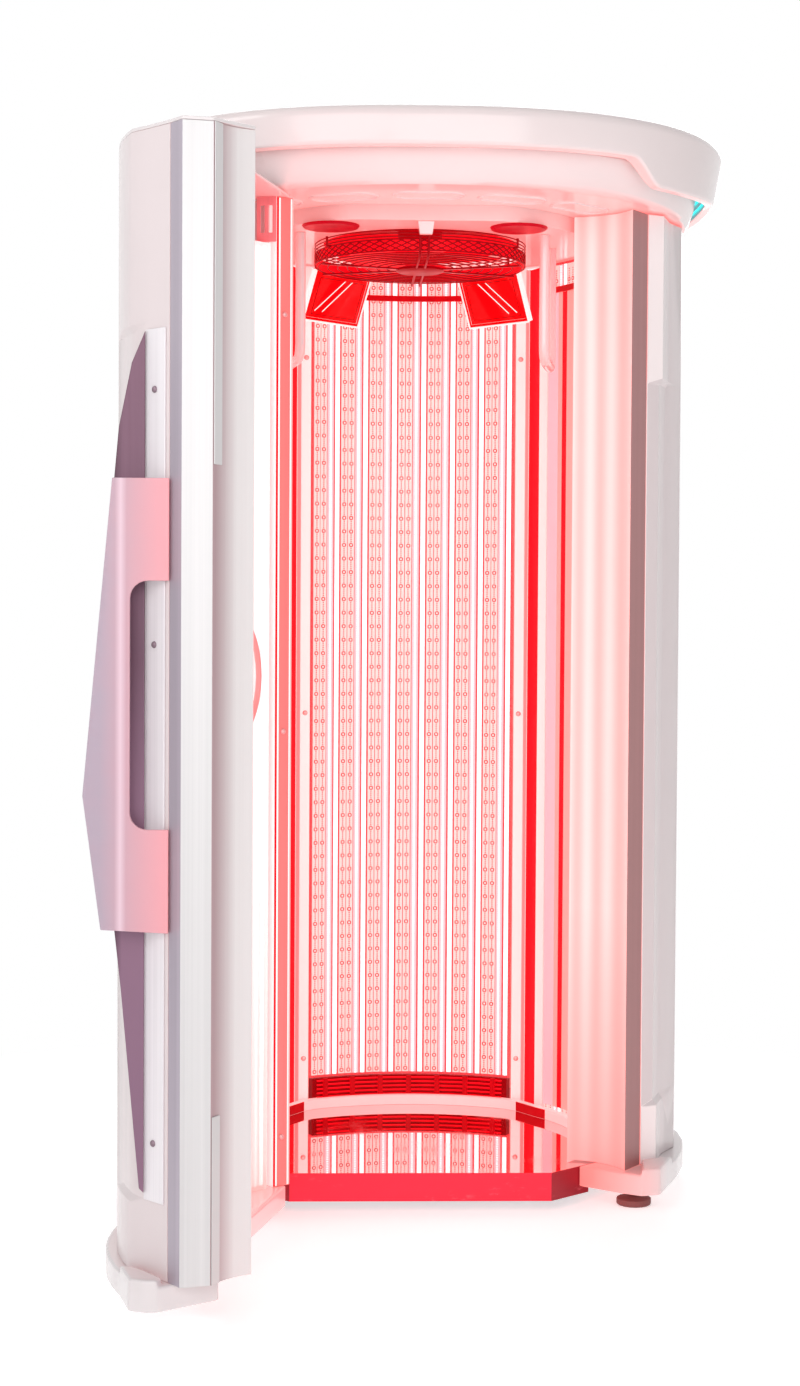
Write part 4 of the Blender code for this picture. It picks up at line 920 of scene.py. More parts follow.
def light_wall(wall, looks):
    """Boards in groups of four: a bright tube, a board of bright chips and two boards of red clusters."""
    node = wall + "_led_boards"
    centre, inner, middle, half = arc_of(node)
    low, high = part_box(node)
    groups = round(2 * half * inner / BOARD_PITCH / 4)
    group = 2 * half / groups
    step = group / 4
    width = inner * step - BOARD_GAP
    face = inner - BOARD_SEAT
    front = face - BOARD_SHEET
    bottom = low.z + WALL_MARGIN
    height = high.z - low.z - 2 * WALL_MARGIN

    def run(name, bm, look, pitch=height, start=bottom):
        """Copies of a shape at every group, and above each other at a pitch."""
        values = {"Centre": (centre.x, centre.y, start), "Columns": groups, "Turn": group,
                  "First Turn": middle - half + step / 2, "Rows": int(height / pitch), "Rise": pitch}
        added(grow_copies(wall + name, TURNED_COPIES, bm, looks[look], values), node)

    tube = bmesh.new()
    bends = [radians(90 - 30 * i) for i in range(7)]
    outline = [(face - TUBE_DEPTH * cos(t), TUBE_WIDTH / 2 * sin(t)) for t in bends]
    add_prism(tube, [spun(x, y, 0.0, TUBE_PLACE * step)[:2] for x, y in outline], 0.0, height)
    run("_light_tubes", tube, "tube")
    plain_boards = (("_chip_boards", "pale", (CHIP_PLACE,)), ("_cluster_boards", "board", CLUSTER_PLACES))
    for name, look, places in plain_boards:
        boards = bmesh.new()
        for place in places:
            add_box(boards, (front, -width / 2, 0.0), (face, width / 2, height), place * step)
        run(name, boards, look)
    chips = bmesh.new()
    depth, across, tall = CHIP
    add_box(chips, (front - depth, -across / 2, 0.0), (front, across / 2, tall), CHIP_PLACE * step)
    run("_light_chips", chips, "chip", CHIP_PITCH)
    clusters = bmesh.new()
    for place in CLUSTER_PLACES:
        add_ring(clusters, front, place * step)
        for lift in DOT_LIFTS:
            foot = CLUSTER_PITCH * lift - DOT / 2
            corner = (front - CLUSTER_DEPTH, -DOT / 2, foot)
            add_box(clusters, corner, (front, DOT / 2, foot + DOT), place * step)
    run("_light_clusters", clusters, "cluster", CLUSTER_PITCH, bottom + RING_R * 2)


def make_light_walls():
    looks = {
        "tube": lit("light_tube", (1.0, 0.94, 0.94), 1.0),
        "board": lit("light_board", (1.0, 0.57, 0.54), 0.72),
        "pale": lit("pale_board", (1.0, 0.46, 0.50), 0.72),
        "chip": lit("light_chip", (1.0, 0.95, 0.95), 1.0),
        "cluster": lit("light_cluster", (0.46, 0.003, 0.012), 0.30),
    }
    carrier = lit("light_carrier", (0.80, 0.008, 0.02), 0.5)
    acrylic = clear_acrylic("clear_acrylic", 0.06)
    milky = clear_acrylic("milky_acrylic", 0.55, 0.52)
    for wall in ("back", "left", "right", "door"):
        dress(wall + "_led_boards", carrier)
        dress(wall + "_acrylic", milky if wall == "door" else acrylic)
        light_wall(wall, looks)


# Fan guard

GUARD_WIRE = 0.0028
GUARD_MESH = 60          # slanted wires each way
GUARD_RINGS = 8          # rings under the fan
RINGS_SHARE = 0.97       # the widest of them, in shares of the guard's radius
RINGS_LIFT = 0.001
GUARD_STEPS = 72
GUARD_LEVELS = (0.0, 0.14, 0.28, 0.40)  # rings above the mesh, in shares of the guard's height from its top
MESH_FOOT = 0.10         # lower edge of the mesh, in shares of the height from the foot
MESH_STEPS = 3
MESH_LEAN = 0.75         # share of the wires' spacing that a wire leans in each step
LINING_INSETS = (0.0035, 0.0025)  # inner and outer face of the red sheet behind the mesh
LINING_STEPS = 96
ROD_R = 0.0028
ROD_REACH = 0.010        # rods outside the guard
ROD_BEND = 0.012
ROD_ASIDE = 0.009        # half the distance between the rods of a pair
ROD_TURNS = (-148, -32, 32, 148)
BAR_TURNS = (-160, -20, 20, 160)
BAR_HALF = 0.005
BAR_SHEET = 0.003
BAR_DROP = 0.004         # bars below the guard's foot
BAR_ENDS = (0.8, 0.98)   # ends of a bar, in shares of the hub's and of the guard's radius
HUB_R = 0.052
HUB_PROFILE = ((-0.006, -0.004), (0.0, -0.001), (0.0, 0.004))  # added to its radius and the bars' height
HUB_SIDES = 40


def make_fan_guard(red, lining):
    low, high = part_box("fan_guard")
    centre = ((low + high) / 2).xy
    radius = (high.x - low.x) / 2 - GUARD_WIRE
    top = high.z - GUARD_WIRE
    foot = low.z + GUARD_WIRE
    levels = [top - share * (top - foot) for share in GUARD_LEVELS]
    mesh_top = levels[-1]
    mesh_foot = foot + MESH_FOOT * (top - foot)
    runs = [(circle_points(centre, radius, z, GUARD_STEPS), True) for z in (*levels, mesh_foot)]
    for i in range(GUARD_MESH):
        for lean in (-MESH_LEAN, MESH_LEAN):
            points = []
            for step in range(MESH_STEPS + 1):
                t = 2 * pi * (i + lean * step) / GUARD_MESH
                z = mesh_foot + (mesh_top - mesh_foot) * step / MESH_STEPS
                points.append((centre.x + radius * cos(t), centre.y + radius * sin(t), z))
            runs.append((points, False))
    for i in range(GUARD_RINGS):
        reach = HUB_R + (radius * RINGS_SHARE - HUB_R) * (1 - i / GUARD_RINGS)
        runs.append((circle_points(centre, reach, foot + RINGS_LIFT, GUARD_STEPS), True))
    stands_for(wires("fan_guard_look", runs, GUARD_WIRE / 2, red), "fan_guard")
    # red sheet behind the mesh, with a painted red glow
    band = bmesh.new()
    inner, outer = (radius - inset for inset in LINING_INSETS)
    ring = ((inner, mesh_foot), (outer, mesh_foot), (outer, mesh_top), (inner, mesh_top))
    add_closed_loft(band, [circle_points(centre, reach, z, LINING_STEPS) for reach, z in ring])
    added(solid("guard_lining", band, lining), "fan_guard")
    make_guard_brackets(centre, radius, top, mesh_top, foot - BAR_DROP, red)


def make_guard_brackets(centre, radius, top, mesh_top, under, red):
    """Rods that hang the guard from the ceiling, flat bars under it and its hub."""
    def at(turn, reach, z, aside=0.0):
        x, y, z = spun(reach, aside, z, radians(turn))
        return (centre.x + x, centre.y + y, z)

    out = radius + ROD_REACH
    runs = []
    for turn in (-90, 90):
        for aside in (-ROD_ASIDE, ROD_ASIDE):
            bends = ((out, top), (out, under + ROD_BEND), (out - ROD_BEND, under), (HUB_R, under))
            runs.append(([at(turn, reach, z, aside) for reach, z in bends], False))
    for turn in ROD_TURNS:
        bends = ((out, top), (out, mesh_top), (radius, mesh_top))
        runs.append(([at(turn, reach, z) for reach, z in bends], False))
    added(wires("guard_rods", runs, ROD_R, red), "fan_guard")
    bars = bmesh.new()
    for turn in BAR_TURNS:
        start = (HUB_R * BAR_ENDS[0], -BAR_HALF, under)
        add_box(bars, start, (radius * BAR_ENDS[1], BAR_HALF, under + BAR_SHEET), radians(turn))
    add_turned(bars, [(HUB_R + wider, under + lift) for wider, lift in HUB_PROFILE], HUB_SIDES)
    bmesh.ops.translate(bars, verts=bars.verts, vec=(centre.x, centre.y, 0.0))
    added(solid("guard_bars", bars, red), "fan_guard")


# Face lamps

LAMP_ROUND = 0.0025
GLASS_SHARE = 0.985      # glass in the sunk face, in shares of its size
GLASS_SEAT = 0.0003
GLASS_FRONT = 0.0022     # glass's front above the sunk face
BORDER_R = 0.0009
BORDER = ((0.07, 0.08), (0.93, 0.08), (0.93, 0.93), (0.07, 0.93))
# Two slanted lines of painted reflection on the glass
REFLECTION_STREAK_R = 0.0013
REFLECTION_STREAKS = (((0.12, 0.16), (0.56, 0.93)), ((0.27, 0.16), (0.70, 0.93)))
FRAME_EDGE_R = 0.0021
FRONT_DEPTH = 0.0005     # corners this near to the foremost one count as the frame's front


def make_face_lamps(white, panel, dark):
    """White frame from the CAD node, and a red glass with its border line and painted reflection lines set
    into its sunk face.
    """
    for side in ("left", "right"):
        node = side + "_face_lamp"
        frame_look = softened(node, white, LAMP_ROUND, 3)
        bm = joined(node)
        fronts = [f for f in bm.faces if f.normal.z < -0.1 and f.normal.y < -0.3 and len(f.verts) == 4]
        sunk = max(fronts, key=lambda face: face.calc_area())
        lift = sunk.normal.copy()
        corners = [vertex.co.copy() for vertex in sunk.verts]
        middle = sum(corners, Vector()) / 4
        front = max(vertex.co.dot(lift) for vertex in bm.verts) - FRONT_DEPTH
        rim = [vertex.co.copy() for vertex in bm.verts if vertex.co.dot(lift) > front]
        bm.free()
        glass = bmesh.new()
        inner = [middle + (corner - middle) * GLASS_SHARE for corner in corners]
        add_capped(glass, [[point + lift * depth for point in inner] for depth in (GLASS_SEAT, GLASS_FRONT)])
        added(mesh_object(side + "_face_glass", outward(glass), panel), node)
        paint_faces(frame_look, panel, lambda n, c: n.dot(lift) > 0.9)
        make_glass_lines(side, corners, lift, white, dark)
        outline = sorted(rim, key=lambda point: (point - middle).length)[-4:]
        make_frame_edges(side, outline, white)


def make_glass_lines(side, corners, lift, pale, dark):
    """Thin border line inside the glass's edge and two slanted lines of painted reflection across it."""
    node = side + "_face_lamp"
    toward = 1 if side == "left" else -1
    by_height = sorted(corners, key=lambda corner: corner.z)
    outer_low, inner_low = sorted(by_height[:2], key=lambda corner: corner.x * toward)
    outer_top, inner_top = sorted(by_height[2:], key=lambda corner: corner.x * toward)

    def spot(across, up):
        """A place on the glass: 0 to 1 from the wall inwards, and from below upwards."""
        low = outer_low.lerp(inner_low, across)
        return low.lerp(outer_top.lerp(inner_top, across), up) + lift * GLASS_FRONT

    border = [([spot(*place) for place in BORDER], True)]
    added(wires(side + "_glass_border", border, BORDER_R, dark), node)
    # painted reflection streaks
    streaks = [([spot(*place) for place in ends], False) for ends in REFLECTION_STREAKS]
    added(wires(side + "_glass_streaks", streaks, REFLECTION_STREAK_R, pale), node)


def make_frame_edges(side, outline, white):
    """White lines along the lower edge and both upright edges of the frame's front."""
    by_height = sorted(outline, key=lambda point: point.z)
    edges = [(by_height[:2], False)]
    for end in by_height[:2]:
        above = min(by_height[2:], key=lambda point: (point - end).length)
        edges.append(([end, above], False))
    added(wires(side + "_frame_edges", edges, FRAME_EDGE_R, white), side + "_face_lamp")


# Canopy

CANOPY_POWER = 2.4       # superellipse exponent of the canopy's plan
CANOPY_STEPS = 360
RIM_FRONT = 0.075        # height of the rim at the front
RIM_DROP = 0.050         # how far the rim hangs lower behind its steps
RIM_STEP = (0.400, 0.474)  # half widths between which it drops
RIM_RISE = 0.60          # share of the drop that the lip rises again
RIM_RISE_LENGTH = 0.47
RIM_WALL = 0.030
RIM_LIP = 0.014
RIM_FLARE = 0.010
RIM_ROUND = 0.008
RIM_BEAD = 0.008         # how far the lip's inner edge stands inside the wall
RIM_BEAD_RISE = 0.010
RIM_BEAD_ROUND = 0.002
RIM_CROWN = (0.016, 0.022)  # inset and depth of the rounded top edge
RIM_CAVITY = 0.04        # the inner wall painted with the accent lines' light starts this far below the top
ROUND_STEPS = 6
ACCENT_R = 0.0024
ACCENT_LIFTS = (-0.001, 0.017)  # light lines above the rim's front edge
ACCENT_REACH = 50        # steps of the canopy's plan to each side of its widest place
ACCENT_STRIDE = 3
BEAD_R = 0.0034
BEAD_PITCH = 21.5        # degrees between the beads' loops
BEAD_LENGTH = 0.142
BEAD_DEPTH = 0.066
BEAD_REACH = 0.462       # middle of the loops from the shells' axis
BEAD_LOOPS = 7
BEAD_STEPS = 40


def canopy_plan(inset):
    """Superellipse of the canopy's outline, moved inwards."""
    low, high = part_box("canopy_rim")
    half_width = (high.x - low.x) / 2 - inset
    half_depth = (high.y - low.y) / 2 - inset
    middle = (low.y + high.y) / 2
    power = 2 / CANOPY_POWER
    points = []
    for i in range(CANOPY_STEPS):
        turn = 2 * pi * i / CANOPY_STEPS
        x = half_width * abs(cos(turn)) ** power * (1 if cos(turn) >= 0 else -1)
        y = half_depth * abs(sin(turn)) ** power * (1 if sin(turn) >= 0 else -1)
        points.append((x, middle + y))
    return points


def eased(share):
    share = min(max(share, 0.0), 1.0)
    return share * share * (3 - 2 * share)


def make_canopy_rim(white):
    """Rim with a stepped, flared lip, a bead along its inner edge and a rounded crown."""
    low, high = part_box("canopy_rim")
    middle = (low.y + high.y) / 2
    front = high.z - RIM_FRONT
    step_from, step_to = RIM_STEP
    stepped = []
    drops = []
    for x, y in canopy_plan(0.0):
        step = 1.0 if y > middle else eased((abs(x) - step_from) / (step_to - step_from))
        rise = eased(1 - (middle - y) / RIM_RISE_LENGTH)
        stepped.append(step)
        drops.append(RIM_DROP * step * (1 - RIM_RISE * rise))

    def lip_row(inset, flare, lift):
        wide = canopy_plan(inset)
        narrow = canopy_plan(inset + flare)
        points = []
        for a, b, step, drop in zip(wide, narrow, stepped, drops):
            x = a[0] + (b[0] - a[0]) * step
            y = a[1] + (b[1] - a[1]) * step
            points.append((x, y, front - drop + lift))
        return points

    def crown_row(inset, depth):
        return [(x, y, high.z - depth) for x, y in canopy_plan(inset)]

    bead = RIM_WALL + RIM_BEAD
    bends = [radians(90 * i / ROUND_STEPS) for i in range(ROUND_STEPS + 1)]
    rows = [lip_row(bead, 0.0, RIM_BEAD_ROUND), lip_row(bead - RIM_BEAD_ROUND, 0.0, 0.0)]
    for bend in bends:
        rows.append(lip_row(RIM_LIP - RIM_ROUND * sin(bend), RIM_FLARE, RIM_ROUND * (1 - cos(bend))))
    for bend in bends:
        rows.append(crown_row(RIM_CROWN[0] * (1 - cos(bend)), RIM_CROWN[1] * (1 - sin(bend))))
    rows += [crown_row(RIM_WALL, 0.0), lip_row(RIM_WALL, 0.0, RIM_BEAD_RISE)]
    bm = bmesh.new()
    add_closed_loft(bm, rows)
    rim = solid("canopy_rim_look", bm, white)
    below = high.z - RIM_CAVITY

    def in_cavity(n, c):
        return abs(c.x) > step_to and n.x * c.x < 0 and abs(n.z) < 0.5 and c.z < below

    # painted turquoise light of the accent lines on the rim's inner walls at the sides
    paint_faces(rim, lit("rim_accent_glow", (0.30, 0.46, 0.50), 0.20), in_cavity)
    stands_for(rim, "canopy_rim")


def make_accent_lines(turquoise):
    """Thin light lines along the rim's inner wall at both sides."""
    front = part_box("canopy_rim")[1].z - RIM_FRONT
    plan = canopy_plan(RIM_WALL + ACCENT_R)
    for side, widest in (("right", 0), ("left", CANOPY_STEPS // 2)):
        picks = range(widest - ACCENT_REACH, widest + ACCENT_REACH + 1, ACCENT_STRIDE)
        runs = []
        for lift in ACCENT_LIFTS:
            runs.append(([(*plan[i % CANOPY_STEPS], front + lift) for i in picks], False))
        stands_for(wires(side + "_accent_look", runs, ACCENT_R, turquoise), side + "_accent_light")


def make_underside_beads(white):
    """Raised loops in a row on the canopy's underside."""
    centre = arc_of("rear_shell")[0]
    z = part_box("canopy_body")[0].z
    cap = BEAD_DEPTH / 2
    straight = BEAD_LENGTH / 2 - cap
    runs = []
    for k in range(BEAD_LOOPS):
        middle = radians(-90 + (k - (BEAD_LOOPS - 1) / 2) * BEAD_PITCH)
        points = []
        for i in range(BEAD_STEPS):
            turn = 2 * pi * i / BEAD_STEPS
            along = cap * cos(turn) + (straight if cos(turn) >= 0 else -straight)
            t = middle + along / BEAD_REACH
            reach = BEAD_REACH + cap * sin(turn)
            points.append((centre.x + reach * cos(t), centre.y + reach * sin(t), z))
        runs.append((points, True))
    added(wires("underside_beads", runs, BEAD_R, white), "canopy_body")


# Rails and strips of the lit walls

RAIL_HEIGHT = 0.013
RAIL_DEPTH = 0.006
RAIL_DROP = 0.070        # rail below the ceiling
RAIL_SHARE = 0.97        # share of the wall that it spans
SIDE_STRIP_SHEET = 0.001
SIDE_STRIP_FOOT = 0.03
# Upright strips on the side walls' covers, in shares of the wall from its front edge
SIDE_STRIPS = (("rose", 0.770, 0.832), ("red", 0.834, 0.872), ("rose", 0.875, 0.908), ("lilac", 0.911, 0.985))


def make_wall_rails(red):
    """Dark rails across the upper ends of the cabinet's lit walls."""
    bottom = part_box("ceiling_panel")[0].z - RAIL_DROP
    for wall in ("back", "left", "right"):
        node = wall + "_acrylic"
        centre, inner, middle, half = arc_of(node)
        bm = bmesh.new()
        add_arc_bar(bm, centre, inner - SEAT_GAP, RAIL_DEPTH, middle, half * RAIL_SHARE,
                    bottom, bottom + RAIL_HEIGHT)
        added(solid(wall + "_top_rail", bm, red), node)


def make_side_strips(looks):
    """Pale and red strips beside the corner posts."""
    for wall, front in (("left", 1), ("right", -1)):
        node = wall + "_acrylic"
        centre, inner, middle, half = arc_of(node)
        low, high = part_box(node)
        for i, (look, start, end) in enumerate(SIDE_STRIPS):
            bm = bmesh.new()
            place = middle + front * half * (1 - start - end)
            add_arc_bar(bm, centre, inner - SEAT_GAP, SIDE_STRIP_SHEET, place, half * (end - start),
                        low.z + SIDE_STRIP_FOOT, high.z - RAIL_DROP)
            added(solid("%s_side_strip_%d" % (wall, i + 1), bm, looks[look]), node)


# Air inlet

LOUVRES = 5
LOUVRE_HEIGHT = 0.003
LOUVRE_DEPTH = 0.005
LOUVRE_SHARE = 0.95      # share of the inlet that they span
LOUVRE_FOOT = 0.024      # lowest louvre above the panel's foot
LOUVRE_TOP = 0.004       # highest louvre below the panel's top
BRACKETS = 7
BRACKET_WIDTH = 0.012
BRACKET_OUT = 0.002      # brackets in front of the louvres
BRACKET_SHARE = 0.86     # share of the inlet between the outermost brackets
BRACKET_FOOT = 0.023
BRACKET_SHORT = 0.024    # bracket shorter than the panel


def make_air_inlet(dark, pale):
    """Louvres and upright brackets in front of the inlet panel under the back wall."""
    node = "air_inlet_grille"
    centre, inner, middle, half = arc_of(node)
    low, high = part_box(node)
    height = high.z - low.z
    seat = inner - SEAT_GAP
    louvres = bmesh.new()
    for i in range(LOUVRES):
        z = low.z + LOUVRE_FOOT + (height - LOUVRE_FOOT - LOUVRE_TOP) * i / (LOUVRES - 1)
        add_arc_bar(louvres, centre, seat, LOUVRE_DEPTH, middle, half * LOUVRE_SHARE, z - LOUVRE_HEIGHT, z)
    added(solid("inlet_louvres", louvres, pale), node)
    bracket = bmesh.new()
    add_box(bracket, (inner - LOUVRE_DEPTH - BRACKET_OUT, -BRACKET_WIDTH / 2, 0.0),
            (seat, BRACKET_WIDTH / 2, height - BRACKET_SHORT))
    reach = half * BRACKET_SHARE
    values = {"Centre": (centre.x, centre.y, low.z + BRACKET_FOOT), "Columns": BRACKETS, "Rows": 1,
              "First Turn": middle - reach, "Turn": 2 * reach / (BRACKETS - 1), "Rise": 0.0}
    added(grow_copies("inlet_brackets", TURNED_COPIES, bracket, dark, values), node)


# Screws and the hinge stile's lines

SCREW_PROFILE = ((0.0060, 0.0), (0.0060, 0.0014), (0.0049, 0.0032), (0.0024, 0.0043), (0.0006, 0.0046))
SCREW_SIDES = 12
STRIP_SCREWS = (0.317, 1.177, 1.613)  # heights above the floor
POST_SCREWS = (0.196, 1.005, 1.829)
STILE_SCREWS = (0.182, 0.998, 1.828)
# Lines along the hinge stile's face, in shares of its width
STILE_LINES = (("red", 0.02, 0.13), ("pale", 0.13, 0.23), ("pale", 0.84, 0.90), ("rose", 0.90, 0.99))
STILE_LINE_SHEET = 0.0004
STILE_LINE_MARGIN = 0.002
FACE_DEPTH = 1e-4        # corners this near to a face's plane lie on it


def face_spots(node, facing, heights):
    """Spots on a node's upright face that looks most nearly one way, at given heights."""
    facing = Vector(facing).normalized()
    bm = joined(node)
    upright = [face for face in bm.faces if abs(face.normal.z) < 0.1]
    best = max(upright, key=lambda face: face.normal.dot(facing) + 0.1 * face.calc_area())
    middle = best.calc_center_median()
    normal = best.normal.copy()
    bm.free()
    return [((middle.x, middle.y, z), normal) for z in heights]


def make_stile_lines(looks):
    """Thin upright lines along the hinge stile's face."""
    node = "door_hinge_stile"
    low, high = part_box(node)
    (place, normal), = face_spots(node, (0.0, -1.0, 0.0), (0.0,))
    middle = Vector(place)
    along = Vector((-normal.y, normal.x, 0.0))
    lifted = normal * STILE_LINE_SHEET
    reaches = []
    for vertex in NODES[node].data.vertices:
        offset = Vector((vertex.co.x, vertex.co.y, 0.0)) - middle
        if abs(offset.dot(normal)) < FACE_DEPTH:
            reaches.append(offset.dot(along))
    first, last = min(reaches), max(reaches)
    for i, (look, start, end) in enumerate(STILE_LINES):
        near = middle + along * (first + (last - first) * start)
        far = middle + along * (first + (last - first) * end)
        outline = [point.to_2d() for point in (near, far, far + lifted, near + lifted)]
        bm = bmesh.new()
        add_prism(bm, outline, low.z + STILE_LINE_MARGIN, high.z - STILE_LINE_MARGIN)
        added(mesh_object("stile_line_%d" % (i + 1), outward(bm), looks[look]), node)


def make_screws(metal, rosy):
    rows = (("strip_screws", "handle_strip", (-0.1, -1.0, 0.0), STRIP_SCREWS, metal),
            ("left_post_screws", "left_corner_post", (0.2, -1.0, 0.0), POST_SCREWS, rosy),
            ("right_post_screws", "right_corner_post", (-0.2, -1.0, 0.0), POST_SCREWS, rosy),
            ("stile_screws", "door_hinge_stile", (0.0, -1.0, 0.0), STILE_SCREWS, rosy))
    for name, node, facing, heights, material in rows:
        head = bmesh.new()
        add_turned(head, SCREW_PROFILE, SCREW_SIDES)
        added(placed(name, face_spots(node, facing, heights), head, material), node)


# The whole booth

CAST_NODES = ("left_plinth", "right_plinth", "door_foot_cover")
CHANNEL_START = 0.42     # hollow of the door's edge profile, in shares of its width
CHANNEL_FADE = 0.555     # where it starts to pale
# Where the skirting rail gets its painted dark red reflection of the corner posts
RAIL_POSTS = (0.245, 0.310)  # half widths between which the skirting rail passes a corner post
RAIL_BACK = 0.45         # and behind which it does so
DUCT_SHARE = 0.95


def dress_nodes(white, canopy_white, steel, red, lit_red):
    """Rounded copies of the CAD nodes in their finishes, by node; several finishes carry painted cabin light.
    """
    finishes = {
        white: ("roof_cover", "door_top_plate", "door_foot_cover", "door_stop", "left_grip_bar",
                "right_grip_bar", "skirting_rail"),
        canopy_white: ("canopy_body",),
        gloss_white("ceiling_white", 1.1, 0.34, 0.3, (0.84, 0.66, 0.65)): ("ceiling_panel",),
        gloss_white("shell_white", 0.80, 0.34, 0.12, SHELL_WHITE): (
            "left_side_shell", "right_side_shell", "rear_shell", "door_outer_shell"),
        cabin_lit_white(): ("left_plinth", "right_plinth"),
        # painted rosy glow of the cabin's light on the pull ring
        lit("cabin_lit_pull_ring", (1.0, 0.22, 0.22), 0.4): ("door_pull_ring",),
        banded_metal(): ("left_hinge_post", "right_jamb_profile"),
        # painted rosy glow of the cabin's light on the corner posts
        lit("cabin_lit_post_metal", (1.0, 0.72, 0.70), 0.50): ("left_corner_post", "right_corner_post"),
        # the cabin's salmon light painted onto the hinge stile
        satin_metal("cabin_lit_stile_metal", (1.0, 0.25, 0.24), 0.5, 0.3, 0.1): ("door_hinge_stile",),
        satin_metal("door_metal", SILVER, 0.25): (
            "door_edge_profile", "edge_cover_upper", "edge_cover_lower"),
        satin_metal("strip_metal", (0.92, 0.87, 0.90), 0.1, 0.1, 0.1): ("handle_strip",),
        steel: ("base_frame", "power_supply", "lower_hinge_bracket"),
        # the cabin's pink-red light painted onto the hinge bracket
        satin_metal("cabin_lit_bracket_metal", (1.0, 0.28, 0.31), 0.6, 0.3, 0.1): ("door_hinge_bracket",),
        red_coated("shaded_red", (0.30, 0.001, 0.004), 0.20): ("air_inlet_grille",),
        red_coated("speaker_red", (0.52, 0.002, 0.014), 0.35): ("left_speaker", "right_speaker"),
        red: ("fan_motor",),
        lit_red: ("fan_rotor",),
        crimson_sheet("crimson_sheet", CRIMSON, 0.30): ("front_kick_plate",),
        dark_rubber("dark_rubber", (0.075, 0.055, 0.053), (0.14, 0.105, 0.10)): (
            "left_rear_foot", "right_rear_foot"),
        dark_rubber("red_lit_rubber", (0.17, 0.045, 0.042), (0.27, 0.085, 0.08)): (
            "left_front_foot", "right_front_foot"),
        black_plastic(): ("control_unit", "mains_inlet"),
        rose_acrylic(): ("door_handle",),
        mauve_sheet(): ("handle_fin",),
    }
    looks = {}
    for material, nodes in finishes.items():
        for node in nodes:
            make = moulded if node in CAST_NODES else softened
            looks[node] = make(node, material)
    dress("floor_platform", polished_floor())
    dress("roof_grille", red)
    dress("upper_hinge_pin", steel)
    return looks


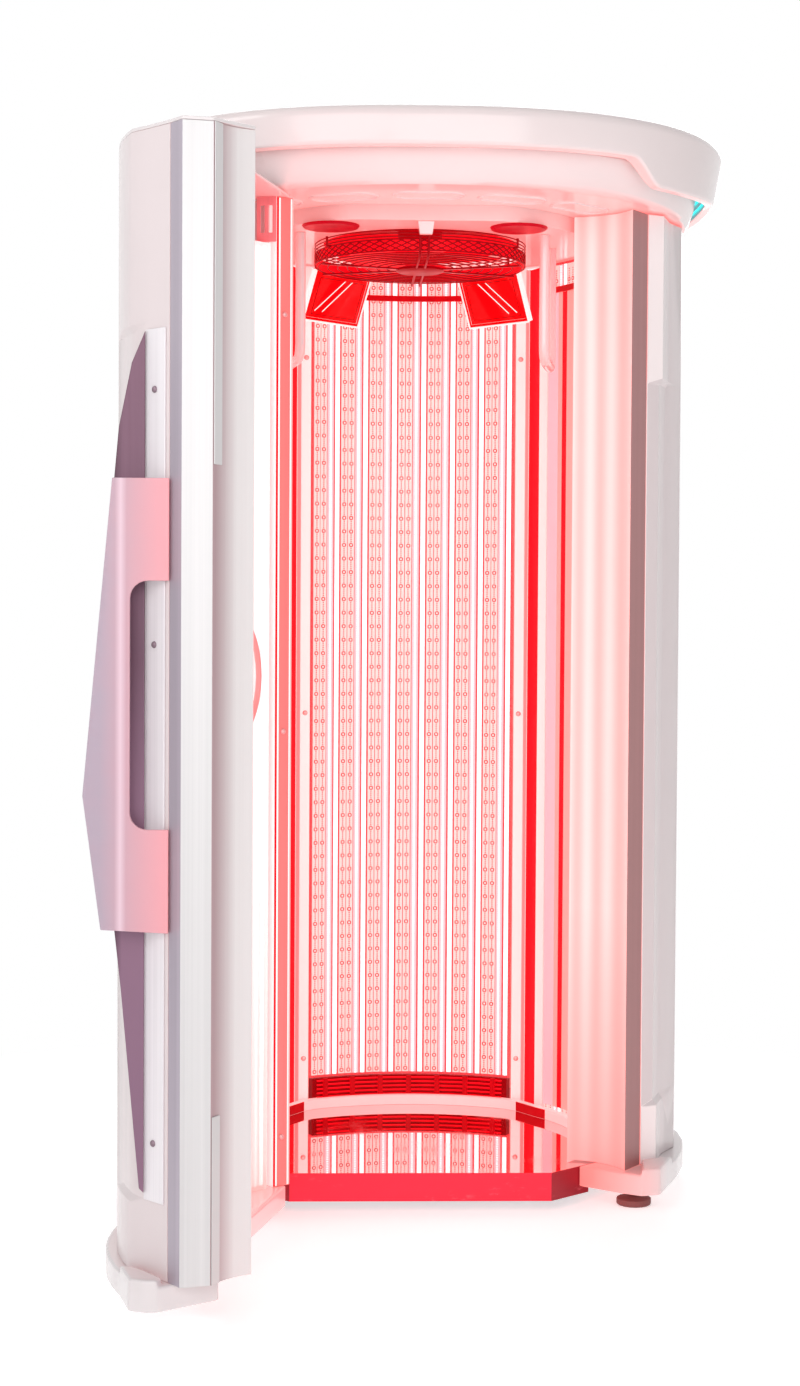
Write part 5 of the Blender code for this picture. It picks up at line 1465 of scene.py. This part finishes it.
def paint_details(looks, red, lit_red, pale, rose):
    """Faces of the nodes given painted light, shade and reflection."""
    # painted pale light on the hinge stile's faces that look left and forward
    paint_faces(looks["door_hinge_stile"], pale, lambda n, c: n.x < -0.2 and n.y < 0.0)
    # painted highlight on the side shells' facets that face the front
    bright = gloss_white("facet_highlight_white", 0.80, 0.34, 0.2, (0.99, 0.89, 0.89))
    for side in ("left", "right"):
        post = looks[side + "_corner_post"]
        # painted light: red on the corner posts' front faces towards the cabin, rosy on the outer ones
        paint_faces(post, lit_red, lambda n, c: n.x * c.x < 0 and abs(n.x) > 0.8 and n.y < -0.3)
        paint_faces(post, rose, lambda n, c: n.x * c.x > 0 and abs(n.x) > 0.8 and n.y < -0.3)
        paint_faces(looks[side + "_side_shell"], bright, lambda n, c: n.y < -0.75 and abs(n.x) > 0.2)
    shaded = satin_metal("shaded_metal", (0.43, 0.19, 0.19), 0.10, 0.1, 0.1)
    paint_faces(looks["right_jamb_profile"], shaded, lambda n, c: n.x > 0.5 and n.y < 0.0)
    # painted shade on the kick plate's slanted side faces
    shaded_crimson = crimson_sheet("shaded_crimson", dimmed(CRIMSON, 0.45), 0.08)
    paint_faces(looks["front_kick_plate"], shaded_crimson, lambda n, c: abs(n.x) > 0.2)
    # painted dark reflection on the chamfer of the door's edge profile, whose faces look left
    dark_reflection = satin_metal("lavender_reflection_metal", (0.50, 0.44, 0.51), 0.10)
    edge = looks["door_edge_profile"]
    low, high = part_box("door_edge_profile")
    start, fade = (low.x + share * (high.x - low.x) for share in (CHANNEL_START, CHANNEL_FADE))
    paint_faces(edge, dark_reflection, lambda n, c: n.x < -0.5 and n.y < -0.1)
    # painted shade in the hollow of the door's edge profile
    paint_faces(edge, channel_shade_metal(fade), lambda n, c: c.x > start and n.y < -0.2)
    rail = looks["skirting_rail"]
    post_from, post_to = RAIL_POSTS
    # painted pale glow on the whole skirting rail, and painted dark red reflection where it passes the corner
    # posts
    paint_faces(rail, lit("rail_glow_pale", (1.0, 0.56, 0.55), 0.5), lambda n, c: True)
    paint_faces(rail, red, lambda n, c: post_from < abs(c.x) < post_to and c.y > RAIL_BACK)
    ceiling = looks["ceiling_panel"]
    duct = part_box("roof_grille")[1].x * DUCT_SHARE
    # painted rosy cabin light on the ceiling's underside, and painted red light on the duct's side walls
    under = gloss_white("ceiling_glow_rose", 1.6, 0.34, 0.3, (0.92, 0.30, 0.30))
    paint_faces(ceiling, under, lambda n, c: n.z < -0.5)
    paint_faces(ceiling, lit_red, lambda n, c: abs(n.z) < 0.5 and hypot(c.x, c.y - CABIN_AXIS[1]) < duct)


def build():
    add_camera()
    add_stage()
    canopy_white = gloss_white("canopy_white", 1.15, 0.36, 0.35, CANOPY_WHITE)
    red = red_coated()
    lit_red = red_coated("lit_red", LIT_RED, 0.60)
    pale = lit("pale_line", (1.0, 0.80, 0.79), 0.55)
    rose = lit("rose_line", (1.0, 0.42, 0.41), 0.5)
    looks = dress_nodes(gloss_white(), canopy_white, brushed_steel(), red, lit_red)
    paint_details(looks, red, lit_red, pale, rose)
    make_stile_lines({"red": lit_red, "pale": pale, "rose": rose})
    make_light_walls()
    make_fan_guard(red_coated("guard_red", (0.36, 0.001, 0.006), 0.22), lit_red)
    # the face lamps' white frames and their lines glow with painted light
    frame_white = lit("frame_white", (1.0, 0.86, 0.84), 0.62)
    make_face_lamps(frame_white, face_glass(), red_coated("border_red", (0.10, 0.001, 0.002), 0.1))
    make_canopy_rim(canopy_white)
    make_accent_lines(lit("turquoise_light", (0.03, 0.88, 0.86), 1.0))
    make_underside_beads(canopy_white)
    make_wall_rails(red)
    salmon = lit("salmon_strip", (1.0, 0.34, 0.31), 0.5)
    lilac = lit("lilac_strip", (1.0, 0.46, 0.51), 0.5)
    make_side_strips({"red": lit_red, "rose": salmon, "lilac": lilac})
    make_air_inlet(red, lit_red)
    mauve = satin_metal("mauve_metal", (0.30, 0.21, 0.25), 0.1, 0.1, 0.6)
    # the posts' and the stile's screws get painted rosy cabin light
    make_screws(mauve, satin_metal("cabin_lit_screw_metal", (0.80, 0.45, 0.45), 0.6, 0.2, 0.7))


build()
